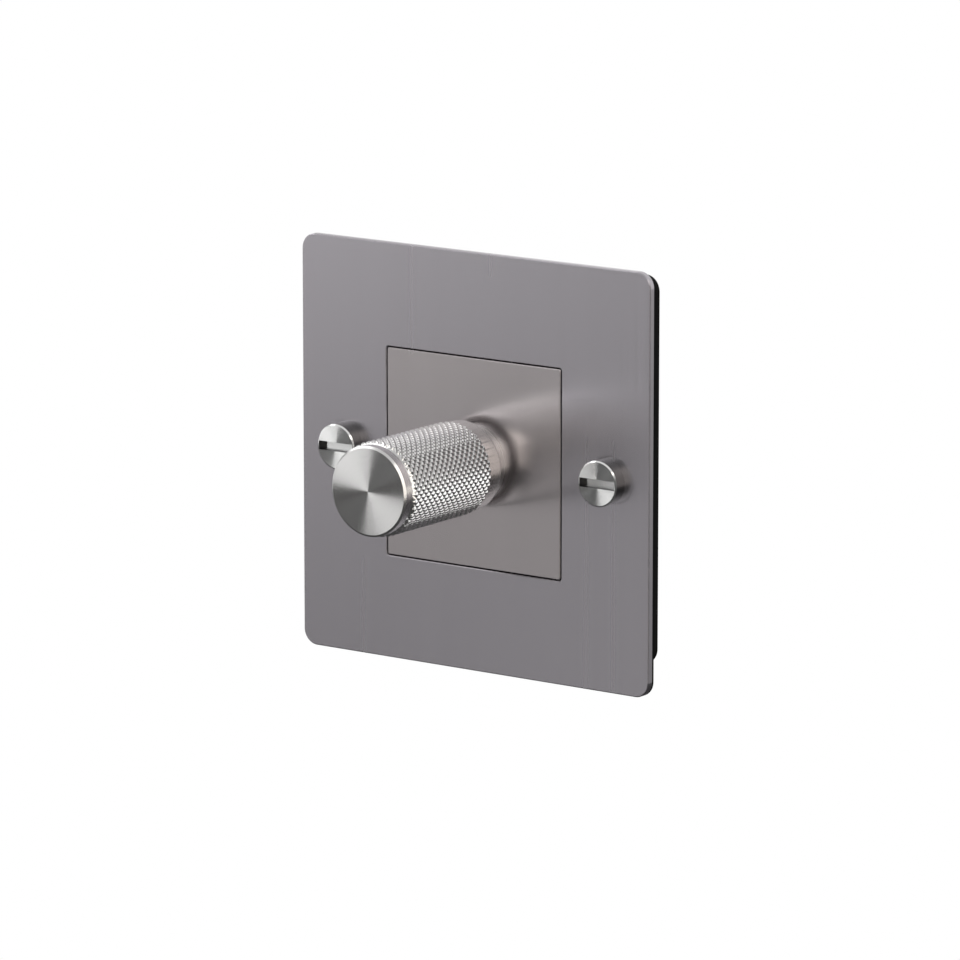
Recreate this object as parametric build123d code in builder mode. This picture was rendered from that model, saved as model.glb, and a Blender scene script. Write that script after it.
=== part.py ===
"""Rotary dimmer switch for a single wall box: satin steel plates, knurled knob, push to switch.

Millimetres. +X is right, +Y goes into the wall and +Z is up.
The origin is midway between the two fixing screws, in the plane of the wall.
"""

import math
import os

from build123d import *

os.makedirs("parts", exist_ok=True)

# Front plates and their backing
plate_side = 80.0
plate_corner_r = 3.0
plate_t = 1.2
plate_edge_chamfer = 0.2
insert_side = 39.9
insert_gap = 0.25
insert_corner_r = 0.4
insert_edge_chamfer = 0.15
gasket_t = 0.5
gasket_head_step = 0.5
backing_t = 1.3
backing_foot_step = 6.0
backing_head_step = 0.8
backing_corner_r = 3.0
backing_recess_side_margin = 2.3
backing_recess_end_margin = 0.3
backing_recess_depth = 0.3
backing_recess_corner_r = 4.0

# Screws that hold the switch to the wall box
screw_spacing = 60.3
screw_shank_r = 1.75
screw_hole_clearance = 0.4
screw_length = 12.0
screw_neck_r = 1.5
screw_neck_end = 0.5
screw_head_r = 4.35
screw_head_h = 2.8
screw_head_chamfer = 0.25
screw_slot_w = 1.7
screw_slot_l = 7.8
screw_slot_depth = 1.3
screw_point_chamfer = 0.6

# Studs behind the face plate and their nuts
stud_fence_distance = 3.3
stud_r = 1.25
stud_length = 5.0
stud_hole_clearance = 0.2
stud_nut_across_flats = 5.0
stud_nut_t = 1.8

# Module: metal plate and moulded housing
module_side = 46.0
module_corner_r = 3.0
module_wall = 1.6
module_depth = 24.0
mounting_plate_t = 1.5
fence_wall = 1.5
fence_depth = 2.6
fence_clearance = 0.2
rib_t = 1.2
rib_length = 6.0
rib_place = 14.0
post_side = 5.4
post_screw_inset = 4.2
vent_count = 6
vent_w = 1.6
vent_l = 6.6
vent_pitch = 4.0

# Small screws in the module
small_screw_r = 1.2
small_screw_head_r = 2.3
small_screw_head_h = 1.2
small_screw_length = 9.5
thread_clearance = 0.05

# Bush, washer and nut
bush_r = 4.45
bush_hole_clearance = 0.25
bush_front = 4.5
bush_flange_r = 7.0
bush_flange_t = 1.5
bush_chamfer = 0.4
washer_r = 6.3
washer_t = 0.6
washer_teeth = 10
washer_notch_w = 1.1
washer_notch_depth = 0.7
nut_r = 7.4
nut_t = 3.2
nut_chamfer = 0.4
nut_slot_w = 1.6
nut_slot_depth = 0.9

# Shaft and its clip
shaft_r = 3.0
shaft_flat = 1.5
shaft_fit = 0.05
shaft_front_chamfer = 0.4
push_travel = 1.5
clip_reach = 1.8
clip_t = 0.6
clip_groove_depth = 0.6
clip_mouth = 3.6
clip_gap = 0.1

# Knob
knob_gap = 2.9
knob_length = 30.1
knob_rear_r = 8.7
knob_knurl_r = 9.0
knob_front_r = 8.5
knob_face_r = 8.1
knob_face_chamfer = 0.4
knob_front_band = 1.7
knob_rear_band = 3.6
knob_groove_r = 8.25
knob_groove_w = 0.2
knurl_lead = 0.4
knob_nut_clearance = 0.25
knob_recess_depth = 5.0
knob_recess_chamfer = 0.3
knob_wall_front = 9.0
knob_insert_r = 4.6
knob_insert_flange_r = 5.6
knob_insert_flange_t = 1.2
knob_insert_tip = 1.0

# Rotary control behind the bush
case_r = 10.0
case_wall = 1.1
case_front_wall = 1.0
case_depth = 9.5
case_hole_clearance = 0.7
case_stop_depth = 4.0
case_stop_angle = 66.0
case_stop_middle = 270.0
rotor_r = 7.8
rotor_t = 1.6
rotor_lug_angle = 20.0
rotor_lug_reach = 0.8
rotor_stop_margin = 2.0
rotor_rim_clearance = 0.5
rotor_rim_w = 1.0
rotor_hub_wall = 1.6
running_gap = 0.3
wiper_t = 0.3
wiper_outer_r = 7.6
wiper_finger_w = 1.1
wiper_finger_place = 5.9
wiper_finger_run = 3.4
wiper_finger_tip = 0.7
wiper_gap = 0.1
track_t = 1.0
track_hole_clearance = 0.6
pin_side = 0.64
pin_pitch = 2.54
pin_drop = 7.0
pin_hole_clearance = 0.1
pin_stub = 1.0

# Circuit board
board_t = 1.6
board_clearance = 0.2
board_screw_x = 17.5
board_screw_z = 12.0
board_screw_length = 6.0
boss_r = 2.6
board_hole_clearance = 1.2

# Push switch behind the board
switch_side = 13.0
switch_depth = 8.8
switch_wall = 1.0
plunger_nose_r = 2.6
plunger_gap = 0.1
plunger_flange_r = 4.7
plunger_flange_t = 1.5
plunger_flange_clearance = 0.8
plunger_stem_r = 1.9
plunger_stem_length = 2.6
bridge_l = 9.2
bridge_w = 3.0
bridge_ring_r = 3.3
bridge_t = 0.4
contact_t = 0.5
contact_w = 2.6
contact_inner = 3.8
contact_outer = 5.35
contact_leg_t = 0.35
contact_gap = 0.2
contact_leg_depth = 1.0
spring_r = 2.9
spring_wire_r = 0.2
spring_turns = 4
spring_end_gap = 0.1

# Power transistors and their insulators
transistor_w = 10.0
transistor_tab_t = 1.3
transistor_body_t = 4.4
transistor_body_l = 9.2
transistor_tab_l = 6.0
transistor_hole_r = 1.8
transistor_leg = 0.7
transistor_leg_pitch = 2.54
transistor_leg_run = 2.2
transistor_side_gap = 0.5
insulator_t = 0.2
insulator_margin = 0.3

# Parts on the back of the board
choke_x = -13.6
choke_core_outer_r = 6.0
choke_core_inner_r = 3.4
choke_core_h = 5.0
choke_lift = 1.1
winding_gap = 0.1
winding_t = 0.6
winding_angle = 300.0
choke_lead_r = 0.4
choke_lead_angles = (20.0, 280.0)
film_x = 14.0
film_w = 13.0
film_h = 6.0
film_depth = 9.0
film_corner_r = 0.6
can_z = 12.2
can_r = 3.2
can_length = 9.0
can_groove = 0.35
can_groove_place = 1.6
chip_w = 6.0
chip_h = 5.0
chip_t = 1.6
chip_z = 15.0
chip_leg_w = 0.4
chip_leg_pitch = 1.27
chip_leg_reach = 0.9
chip_leg_t = 0.2

# Terminals
terminal_pitch = 10.0
clamp_w = 6.0
clamp_h = 7.4
clamp_depth = 6.4
clamp_clearance = 0.1
clamp_screw_rise = 5.3
wire_bore_r = 1.9
block_wall = 0.9
block_front_wall = 0.9
block_rear_wall = 2.2
terminal_screw_r = 1.2
terminal_screw_head_r = 2.0
terminal_screw_head_h = 1.5
terminal_screw_slot = 0.6
driver_hole_r = 2.3
wire_window = 5.4

# Depths along Y, and radii and places, that follow from the sizes above
gasket_front = -backing_t - gasket_t
plate_front = gasket_front - plate_t
head_front = plate_front - screw_head_h
knob_rear = plate_front - knob_gap
knob_front = knob_rear - knob_length
washer_front = plate_front - washer_t
nut_front = plate_front - nut_t
flange_rear = mounting_plate_t + bush_flange_t
case_rear = mounting_plate_t + case_depth
board_rear = case_rear + board_t
housing_floor = module_depth - module_wall
cavity_half = module_side / 2 - module_wall
transistor_x = cavity_half - transistor_side_gap - transistor_w / 2
shaft_rear = case_rear + 0.4
recess_floor = knob_rear - knob_recess_depth
knob_recess_r = nut_r + knob_nut_clearance
insert_front = knob_front + knob_wall_front
shaft_front = insert_front + knob_insert_tip
case_inner_front = flange_rear + case_front_wall
track_front = case_rear - track_t
case_inner_r = case_r - case_wall
clip_front = flange_rear + clip_gap
rotor_front = clip_front + clip_t + push_travel + running_gap
rotor_rear = rotor_front + rotor_t
hub_rear = track_front - running_gap
nose_front = shaft_rear + plunger_gap
plunger_flange_front = board_rear + plunger_flange_clearance
plunger_flange_rear = plunger_flange_front + plunger_flange_t
bridge_rear = plunger_flange_rear + bridge_t
contact_front = bridge_rear + push_travel + contact_gap
switch_rear = board_rear + switch_depth
switch_floor = switch_rear - switch_wall
post_place = module_side / 2 - post_screw_inset
block_bottom = -cavity_half + board_clearance
clamp_bottom = block_bottom + clamp_clearance
terminal_screw_z = clamp_bottom + clamp_screw_rise
clamp_front = board_rear + block_front_wall + clamp_clearance
clamp_rear = clamp_front + clamp_depth
clamp_bore_y = clamp_front + 2.6
block_rear = clamp_rear + clamp_clearance + block_rear_wall
fence_inner = module_side + 2 * fence_clearance
fence_outer = fence_inner + 2 * fence_wall
ribs_outer = fence_outer + 2 * rib_length
stud_place = fence_outer / 2 + stud_fence_distance
clip_r = shaft_r + clip_reach
clip_groove_r = shaft_r - clip_groove_depth
case_hole_r = clip_r + case_hole_clearance
rotor_rim_inner_r = case_hole_r + rotor_rim_clearance
rotor_rim_outer_r = rotor_rim_inner_r + rotor_rim_w
rotor_hub_r = shaft_r + rotor_hub_wall
terminal_places = [-terminal_pitch, 0.0, terminal_pitch]
stud_places = [(x, z) for x in (-stud_place, stud_place) for z in (-stud_place, stud_place)]
post_places = [(x, z) for x in (-post_place, post_place) for z in (-post_place, post_place)]
fixing_places = [(-screw_spacing / 2, 0), (screw_spacing / 2, 0)]
rotor_lug_middle = case_stop_middle - case_stop_angle / 2 - rotor_lug_angle / 2 - rotor_stop_margin
transistor_leg_z = -(transistor_body_l + transistor_tab_l) / 2 - transistor_leg_run
leg_row = (-transistor_leg_pitch, 0, transistor_leg_pitch)
choke_middle_r = (choke_core_inner_r + choke_core_outer_r) / 2
choke_lead_places = [
    (
        choke_x + choke_middle_r * math.cos(math.radians(angle)),
        -choke_middle_r * math.sin(math.radians(angle)),
    )
    for angle in choke_lead_angles
]


def facing(y):
    """The plane at depth y that looks out of the wall, with X to the right and Z up."""
    return Plane.XZ.offset(-y)


def hex_r(across_flats):
    """The corner radius of a hexagon from its width across flats."""
    return across_flats / math.sqrt(3)


# Face plate: one sheet with a square opening, two screw holes and four welded studs
opening_side = insert_side + 2 * insert_gap
with BuildPart() as face_plate:
    with BuildSketch(facing(gasket_front)):
        RectangleRounded(plate_side, plate_side, plate_corner_r)
    extrude(amount=plate_t)
    chamfer(face_plate.faces().sort_by(Axis.Y)[0].outer_wire().edges(), plate_edge_chamfer)
    with BuildSketch(facing(gasket_front)):
        RectangleRounded(opening_side, opening_side, insert_corner_r + insert_gap)
    extrude(amount=plate_t, mode=Mode.SUBTRACT)
    front_opening = face_plate.faces().sort_by(Axis.Y)[0].inner_wires()[0].edges()
    chamfer(front_opening, insert_edge_chamfer)
    with BuildSketch(facing(gasket_front)):
        with Locations(*fixing_places):
            Circle(screw_shank_r + screw_hole_clearance)
    extrude(amount=plate_t, mode=Mode.SUBTRACT)
    with BuildSketch(facing(gasket_front + stud_length)):
        with Locations(*stud_places):
            Circle(stud_r)
    extrude(amount=stud_length)
face_plate.part.label = "face_plate"

# Centre plate: the flush square that the knob turns in front of
with BuildPart() as centre_plate:
    with BuildSketch(facing(gasket_front)):
        RectangleRounded(insert_side, insert_side, insert_corner_r)
    extrude(amount=plate_t)
    chamfer(centre_plate.faces().sort_by(Axis.Y)[0].outer_wire().edges(), insert_edge_chamfer)
    with BuildSketch(facing(gasket_front)):
        Circle(bush_r + bush_hole_clearance)
    extrude(amount=plate_t, mode=Mode.SUBTRACT)
centre_plate.part.label = "centre_plate"

# Gasket: thin black sheet, flush with the plate except at its head
with BuildPart() as gasket:
    with BuildSketch(facing(-backing_t)):
        with Locations((0, -gasket_head_step / 2)):
            RectangleRounded(plate_side, plate_side - gasket_head_step, plate_corner_r)
        Circle(bush_r + bush_hole_clearance, mode=Mode.SUBTRACT)
        with Locations(*fixing_places):
            Circle(screw_shank_r + screw_hole_clearance, mode=Mode.SUBTRACT)
        with Locations(*stud_places):
            Circle(stud_r + stud_hole_clearance, mode=Mode.SUBTRACT)
    extrude(amount=gasket_t)
gasket.part.label = "gasket"

# Backing frame: moulded sheet that stops short of the plate's foot. Its rim lies on the wall, the
# shallow recess inside the rim clears the wall box's mouth, and a fence locates the module.
backing_height = plate_side - backing_foot_step - backing_head_step
with BuildPart() as backing_frame:
    with BuildSketch(facing(0)):
        with Locations((0, (backing_foot_step - backing_head_step) / 2)):
            RectangleRounded(plate_side, backing_height, backing_corner_r)
    extrude(amount=backing_t)
    with BuildSketch(facing(0)):
        RectangleRounded(
            ribs_outer + 2 * backing_recess_side_margin,
            ribs_outer + 2 * backing_recess_end_margin,
            backing_recess_corner_r,
        )
    extrude(amount=backing_recess_depth, mode=Mode.SUBTRACT)
    with BuildSketch(facing(fence_depth)):
        RectangleRounded(fence_outer, fence_outer, module_corner_r + fence_clearance + fence_wall)
        RectangleRounded(
            fence_inner, fence_inner, module_corner_r + fence_clearance, mode=Mode.SUBTRACT
        )
        for side in (-1, 1):
            reach = fence_outer / 2 + rib_length / 2
            with Locations((side * reach, rib_place), (side * reach, -rib_place)):
                Rectangle(rib_length, rib_t)
            with Locations((rib_place, side * reach), (-rib_place, side * reach), (0, side * reach)):
                Rectangle(rib_t, rib_length)
    extrude(amount=fence_depth + backing_recess_depth)
    with BuildSketch(facing(0)):
        Rectangle(fence_inner, fence_inner)
    extrude(amount=backing_recess_depth)
    with BuildSketch(facing(fence_depth)):
        Circle(bush_r + bush_hole_clearance)
        with Locations(*fixing_places):
            Circle(screw_shank_r + screw_hole_clearance)
        with Locations(*stud_places):
            Circle(stud_r + stud_hole_clearance)
    extrude(amount=backing_t + fence_depth, mode=Mode.SUBTRACT)
backing_frame.part.label = "backing_frame"


def fixing_screw(x):
    """A screw with a broad flat head and a slot that stops inside the rim."""
    with BuildPart() as screw:
        with BuildSketch(facing(plate_front)):
            with Locations((x, 0)):
                Circle(screw_head_r)
        extrude(amount=screw_head_h)
        chamfer(screw.faces().sort_by(Axis.Y)[0].edges(), screw_head_chamfer)
        with BuildSketch(facing(screw_neck_end)):
            with Locations((x, 0)):
                Circle(screw_neck_r)
        extrude(amount=screw_neck_end - plate_front)
        with BuildSketch(facing(plate_front + screw_length)):
            with Locations((x, 0)):
                Circle(screw_shank_r)
        extrude(amount=plate_front + screw_length - screw_neck_end)
        chamfer(screw.faces().sort_by(Axis.Y)[-1].edges(), screw_point_chamfer)
        with BuildSketch(facing(head_front + screw_slot_depth)):
            with Locations((x, 0)):
                Rectangle(screw_slot_l, screw_slot_w)
        extrude(amount=screw_slot_depth, mode=Mode.SUBTRACT)
    return screw.part


left_fixing_screw = fixing_screw(-screw_spacing / 2)
left_fixing_screw.label = "left_fixing_screw"
right_fixing_screw = fixing_screw(screw_spacing / 2)
right_fixing_screw.label = "right_fixing_screw"

# Nuts on the face plate's studs, behind the backing frame
with BuildPart() as plate_nuts:
    with BuildSketch(facing(stud_nut_t - backing_recess_depth)):
        with Locations(*stud_places):
            RegularPolygon(hex_r(stud_nut_across_flats), 6)
            Circle(stud_r + thread_clearance, mode=Mode.SUBTRACT)
    extrude(amount=stud_nut_t)
plate_nuts.part.label = "plate_nuts"

# Bush: threaded tube with a flange, drawn as a radius against depth and turned about Y
bush_tip = plate_front - bush_front
with BuildPart() as bush:
    with BuildSketch(Plane.XY):
        with BuildLine():
            Polyline(
                (shaft_r + shaft_fit, bush_tip),
                (bush_r - bush_chamfer, bush_tip),
                (bush_r, bush_tip + bush_chamfer),
                (bush_r, mounting_plate_t),
                (bush_flange_r, mounting_plate_t),
                (bush_flange_r, flange_rear),
                (shaft_r + shaft_fit, flange_rear),
                close=True,
            )
        make_face()
    revolve(axis=Axis.Y)
bush.part.label = "bush"

# Lock washer with teeth round its bore
with BuildPart() as lock_washer:
    with BuildSketch(facing(plate_front)):
        Circle(washer_r)
        Circle(bush_r + bush_hole_clearance, mode=Mode.SUBTRACT)
        with PolarLocations(bush_r + bush_hole_clearance, washer_teeth):
            Rectangle(2 * washer_notch_depth, washer_notch_w, mode=Mode.SUBTRACT)
    extrude(amount=washer_t)
lock_washer.part.label = "lock_washer"

# Round dress nut on the bush: it covers the washer and fills the gap behind the knob, and its two
# slots for a pin spanner lie inside the knob's hollow end
with BuildPart() as bush_nut:
    with BuildSketch(Plane.XY):
        with BuildLine():
            Polyline(
                (bush_r + thread_clearance, nut_front),
                (nut_r - nut_chamfer, nut_front),
                (nut_r, nut_front + nut_chamfer),
                (nut_r, plate_front),
                (washer_r + running_gap, plate_front),
                (washer_r + running_gap, washer_front),
                (bush_r + thread_clearance, washer_front),
                close=True,
            )
        make_face()
    revolve(axis=Axis.Y)
    with BuildSketch(facing(nut_front + nut_slot_depth)):
        Rectangle(2 * nut_r, nut_slot_w)
    extrude(amount=nut_slot_depth, mode=Mode.SUBTRACT)
bush_nut.part.label = "bush_nut"

# Shaft: round in the bush, with a flat for the knob and another for the rotor
flat_rear_of_knob = recess_floor
flat_front_of_rotor = rotor_front - push_travel - running_gap
with BuildPart() as shaft:
    with BuildSketch(Plane.XY):
        with BuildLine():
            Polyline(
                (0, shaft_front),
                (shaft_r - shaft_front_chamfer, shaft_front),
                (shaft_r, shaft_front + shaft_front_chamfer),
                (shaft_r, clip_front),
                (clip_groove_r, clip_front),
                (clip_groove_r, clip_front + clip_t),
                (shaft_r, clip_front + clip_t),
                (shaft_r, shaft_rear - shaft_front_chamfer),
                (shaft_r - shaft_front_chamfer, shaft_rear),
                (0, shaft_rear),
                close=True,
            )
        make_face()
    revolve(axis=Axis.Y)
    with BuildSketch(facing(flat_rear_of_knob)):
        with Locations((0, shaft_flat + shaft_r)):
            Rectangle(4 * shaft_r, 2 * shaft_r)
    extrude(amount=flat_rear_of_knob - shaft_front, mode=Mode.SUBTRACT)
    with BuildSketch(facing(shaft_rear)):
        with Locations((0, shaft_flat + shaft_r)):
            Rectangle(4 * shaft_r, 2 * shaft_r)
    extrude(amount=shaft_rear - flat_front_of_rotor, mode=Mode.SUBTRACT)
shaft.part.label = "shaft"

# Retaining clip in the shaft's groove, which stops the shaft at the bush
with BuildPart() as retaining_clip:
    with BuildSketch(facing(clip_front + clip_t)):
        Circle(clip_r)
        Circle(clip_groove_r + shaft_fit, mode=Mode.SUBTRACT)
        with Locations((0, -clip_r)):
            Rectangle(clip_mouth, 2 * clip_r, mode=Mode.SUBTRACT)
    extrude(amount=clip_t)
retaining_clip.part.label = "retaining_clip"

# Knob: turned from bar, with a plain band at each end of the knurled barrel and a groove in front
# of it. The barrel has the size over the knurl's points.
front_band_rear = knob_front + knob_face_chamfer + knob_front_band
groove_front = front_band_rear + knob_front_r - knob_groove_r
rear_band_front = knob_rear - knob_rear_band
with BuildPart() as knob:
    with BuildSketch(Plane.XY):
        with BuildLine():
            Polyline(
                (0, knob_front),
                (knob_face_r, knob_front),
                (knob_front_r, knob_front + knob_face_chamfer),
                (knob_front_r, front_band_rear),
                (knob_groove_r, groove_front),
                (knob_groove_r, groove_front + knob_groove_w),
                (knob_knurl_r, groove_front + knob_groove_w + knurl_lead),
                (knob_knurl_r, rear_band_front - knurl_lead / 2),
                (knob_rear_r, rear_band_front),
                (knob_rear_r, knob_rear - knob_recess_chamfer),
                (knob_rear_r - knob_recess_chamfer, knob_rear),
                (knob_recess_r, knob_rear),
                (knob_recess_r, recess_floor),
                (knob_insert_r + shaft_fit, recess_floor),
                (knob_insert_r + shaft_fit, insert_front),
                (0, insert_front),
                close=True,
            )
        make_face()
    revolve(axis=Axis.Y)
knob.part.label = "knob"

# Knob insert: moulded sleeve with a flange, pushed into the knob, with a flat for the shaft
with BuildPart() as knob_insert:
    with BuildSketch(Plane.XY):
        with BuildLine():
            Polyline(
                (0, insert_front),
                (knob_insert_r, insert_front),
                (knob_insert_r, recess_floor),
                (knob_insert_flange_r, recess_floor),
                (knob_insert_flange_r, recess_floor + knob_insert_flange_t),
                (0, recess_floor + knob_insert_flange_t),
                close=True,
            )
        make_face()
    revolve(axis=Axis.Y)
    insert_rear = recess_floor + knob_insert_flange_t
    with BuildSketch(facing(insert_rear)):
        Circle(shaft_r + shaft_fit)
        with Locations((0, shaft_flat + shaft_fit + shaft_r)):
            Rectangle(4 * shaft_r, 2 * shaft_r, mode=Mode.SUBTRACT)
    extrude(amount=insert_rear - shaft_front + shaft_fit, mode=Mode.SUBTRACT)
    with BuildSketch(facing(insert_rear)):
        Circle(shaft_r + shaft_fit)
    extrude(amount=knob_insert_flange_t, mode=Mode.SUBTRACT)
knob_insert.part.label = "knob_insert"

# Mounting plate: metal front of the module, with countersunk corner holes
with BuildPart() as mounting_plate:
    with BuildSketch(facing(mounting_plate_t)):
        RectangleRounded(module_side, module_side, module_corner_r)
        Circle(bush_r + bush_hole_clearance, mode=Mode.SUBTRACT)
    extrude(amount=mounting_plate_t)
    with Locations(Plane.XZ):
        with Locations(*post_places):
            CounterSinkHole(
                small_screw_r + thread_clearance,
                small_screw_head_r + thread_clearance,
                mounting_plate_t,
            )
mounting_plate.part.label = "mounting_plate"

# Module housing: deep moulded tray with corner posts, board bosses, vents and terminal openings
post_centre = cavity_half - post_side / 2
post_corners = [(x, z) for x in (-post_centre, post_centre) for z in (-post_centre, post_centre)]
boss_places = [(-board_screw_x, board_screw_z), (board_screw_x, board_screw_z)]
with BuildPart() as module_housing:
    with BuildSketch(facing(module_depth)):
        RectangleRounded(module_side, module_side, module_corner_r)
    extrude(amount=module_depth - mounting_plate_t)
    with BuildSketch(facing(housing_floor)):
        Rectangle(2 * cavity_half, 2 * cavity_half)
        with Locations(*post_corners):
            Rectangle(post_side, post_side, mode=Mode.SUBTRACT)
    extrude(amount=housing_floor - mounting_plate_t, mode=Mode.SUBTRACT)
    with BuildSketch(facing(housing_floor)):
        with Locations(*boss_places):
            Circle(boss_r)
    extrude(amount=housing_floor - board_rear)
    with BuildSketch(facing(mounting_plate_t + small_screw_length)):
        with Locations(*post_places):
            Circle(small_screw_r + thread_clearance)
    extrude(amount=small_screw_length, mode=Mode.SUBTRACT)
    with BuildSketch(facing(board_rear + board_screw_length)):
        with Locations(*boss_places):
            Circle(small_screw_r + thread_clearance)
    extrude(amount=board_screw_length, mode=Mode.SUBTRACT)
    with BuildSketch(facing(module_depth)):
        with Locations(*[(x, terminal_screw_z) for x in terminal_places]):
            Circle(driver_hole_r)
    extrude(amount=module_wall, mode=Mode.SUBTRACT)
    with BuildSketch(Plane.XY.offset(-module_side / 2)):
        with Locations(*[(x, clamp_bore_y) for x in terminal_places]):
            Rectangle(wire_window, wire_window)
    extrude(amount=module_wall, mode=Mode.SUBTRACT)
    with BuildSketch(Plane.XY.offset(cavity_half)):
        with Locations((0, (board_rear + housing_floor) / 2)):
            with GridLocations(vent_pitch, 0, vent_count, 1):
                Rectangle(vent_w, vent_l)
    extrude(amount=module_wall, mode=Mode.SUBTRACT)
module_housing.part.label = "module_housing"


def small_screw(x, z, head, tip):
    """Half outline of a countersunk screw at x and z, from its head at the depth head to its tip."""
    with BuildSketch(Plane(origin=(x, 0, z))) as outline:
        with BuildLine():
            Polyline(
                (0, head),
                (small_screw_head_r, head),
                (small_screw_r, head + small_screw_head_h),
                (small_screw_r, tip),
                (0, tip),
                close=True,
            )
        make_face()
    return outline.sketch


# Countersunk screws at the corners of the mounting plate
housing_screw_outlines = [(x, z, small_screw(x, z, 0, small_screw_length)) for x, z in post_places]
with BuildPart() as housing_screws:
    for x, z, outline in housing_screw_outlines:
        revolve(outline, axis=Axis((x, 0, z), (0, 1, 0)))
housing_screws.part.label = "housing_screws"


def ring_sector(inner_r, outer_r, middle, width):
    """A slice of a ring about the origin, as a sketch; angles run anticlockwise from +X."""
    with BuildSketch() as piece_of_ring:
        with BuildLine():
            outer = CenterArc((0, 0), outer_r, middle - width / 2, width)
            inner = CenterArc((0, 0), inner_r, middle - width / 2, width)
            Line(outer @ 0, inner @ 0)
            Line(outer @ 1, inner @ 1)
        make_face()
    return piece_of_ring.sketch


# Control case: round moulded cup on the bush's flange, with a stop for the rotor at its foot
stop_tab = ring_sector(
    rotor_r + running_gap / 2, case_inner_r + case_wall / 2, case_stop_middle, case_stop_angle
)
with BuildPart() as control_case:
    with BuildSketch(Plane.XY):
        with BuildLine():
            Polyline(
                (bush_flange_r + shaft_fit, mounting_plate_t),
                (case_r, mounting_plate_t),
                (case_r, case_rear),
                (case_inner_r, case_rear),
                (case_inner_r, case_inner_front),
                (case_hole_r, case_inner_front),
                (case_hole_r, flange_rear),
                (bush_flange_r + shaft_fit, flange_rear),
                close=True,
            )
        make_face()
    revolve(axis=Axis.Y)
    with BuildSketch(facing(case_inner_front + case_stop_depth)):
        add(stop_tab)
    extrude(amount=case_stop_depth)
control_case.part.label = "control_case"

# Rotor: disc with a stop lug, a rim that bears on the case and a hub with a flat in its bore
stop_lug = ring_sector(
    rotor_hub_r, rotor_r + rotor_lug_reach, rotor_lug_middle, rotor_lug_angle
)
with BuildPart() as wiper_rotor:
    with BuildSketch(facing(rotor_rear)):
        Circle(rotor_r)
        add(stop_lug)
    extrude(amount=rotor_t)
    with BuildSketch(facing(rotor_front)):
        Circle(rotor_rim_outer_r)
        Circle(rotor_rim_inner_r, mode=Mode.SUBTRACT)
    extrude(amount=rotor_front - case_inner_front - running_gap)
    with BuildSketch(facing(hub_rear)):
        Circle(rotor_hub_r)
    extrude(amount=hub_rear - rotor_rear)
    with BuildSketch(facing(hub_rear)):
        Circle(shaft_r + shaft_fit)
        with Locations((0, shaft_flat + shaft_fit + shaft_r)):
            Rectangle(4 * shaft_r, 2 * shaft_r, mode=Mode.SUBTRACT)
    extrude(amount=hub_rear - rotor_front, mode=Mode.SUBTRACT)
wiper_rotor.part.label = "wiper_rotor"

# Wiper: spring ring on the rotor with two bent fingers that reach the track
finger_tip = track_front - wiper_gap
with BuildPart() as wiper:
    with BuildSketch(facing(rotor_rear + wiper_t)):
        Circle(wiper_outer_r)
        Circle(rotor_hub_r + shaft_fit, mode=Mode.SUBTRACT)
    extrude(amount=wiper_t)
    with BuildSketch(Plane.YZ.offset(wiper_finger_place)):
        with BuildLine():
            Polyline(
                (rotor_rear, -wiper_finger_tip),
                (rotor_rear + wiper_t, -wiper_finger_tip),
                (finger_tip, wiper_finger_run),
                (finger_tip, wiper_finger_run + wiper_finger_tip),
                (finger_tip - wiper_t, wiper_finger_run + wiper_finger_tip),
                (finger_tip - wiper_t, wiper_finger_run),
                (rotor_rear, 0),
                close=True,
            )
        make_face()
    extrude(amount=wiper_finger_w)
    mirror(about=Plane.YZ)
wiper.part.label = "wiper"

# Track disc: the wafer that closes the control case and carries the resistive track
with BuildPart() as track_disc:
    with BuildSketch(facing(case_rear)):
        Circle(case_inner_r - shaft_fit)
        Circle(shaft_r + track_hole_clearance, mode=Mode.SUBTRACT)
    extrude(amount=track_t)
track_disc.part.label = "track_disc"

# Three square pins from the track disc through the board
pin_places = [(x, -pin_drop) for x in (-pin_pitch, 0, pin_pitch)]
with BuildPart() as control_pins:
    with BuildSketch(facing(board_rear + pin_stub)):
        with Locations(*pin_places):
            Rectangle(pin_side, pin_side)
    extrude(amount=board_t + pin_stub)
control_pins.part.label = "control_pins"

# Circuit board: notched at its corners for the posts and drilled for everything that passes it
leg_places = [
    (side * transistor_x + pitch, transistor_leg_z)
    for side in (-1, 1)
    for pitch in leg_row
]
contact_leg_places = [(side * (contact_outer - contact_leg_t / 2), 0) for side in (-1, 1)]
with BuildPart() as circuit_board:
    with BuildSketch(facing(board_rear)):
        Rectangle(2 * (cavity_half - board_clearance), 2 * (cavity_half - board_clearance))
        with Locations(*post_corners):
            Rectangle(
                post_side + 2 * board_clearance,
                post_side + 2 * board_clearance,
                mode=Mode.SUBTRACT,
            )
        Circle(plunger_nose_r + board_hole_clearance, mode=Mode.SUBTRACT)
        with Locations(*boss_places):
            Circle(small_screw_r + pin_hole_clearance, mode=Mode.SUBTRACT)
        with Locations(*choke_lead_places):
            Circle(choke_lead_r + pin_hole_clearance, mode=Mode.SUBTRACT)
        with Locations(*pin_places):
            Rectangle(
                pin_side + 2 * pin_hole_clearance, pin_side + 2 * pin_hole_clearance, mode=Mode.SUBTRACT
            )
        with Locations(*leg_places):
            Rectangle(
                transistor_leg + 2 * pin_hole_clearance,
                transistor_leg + 2 * pin_hole_clearance,
                mode=Mode.SUBTRACT,
            )
        with Locations(*contact_leg_places):
            Rectangle(
                contact_leg_t + 2 * pin_hole_clearance,
                contact_w + 2 * pin_hole_clearance,
                mode=Mode.SUBTRACT,
            )
    extrude(amount=board_t)
circuit_board.part.label = "circuit_board"

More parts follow.
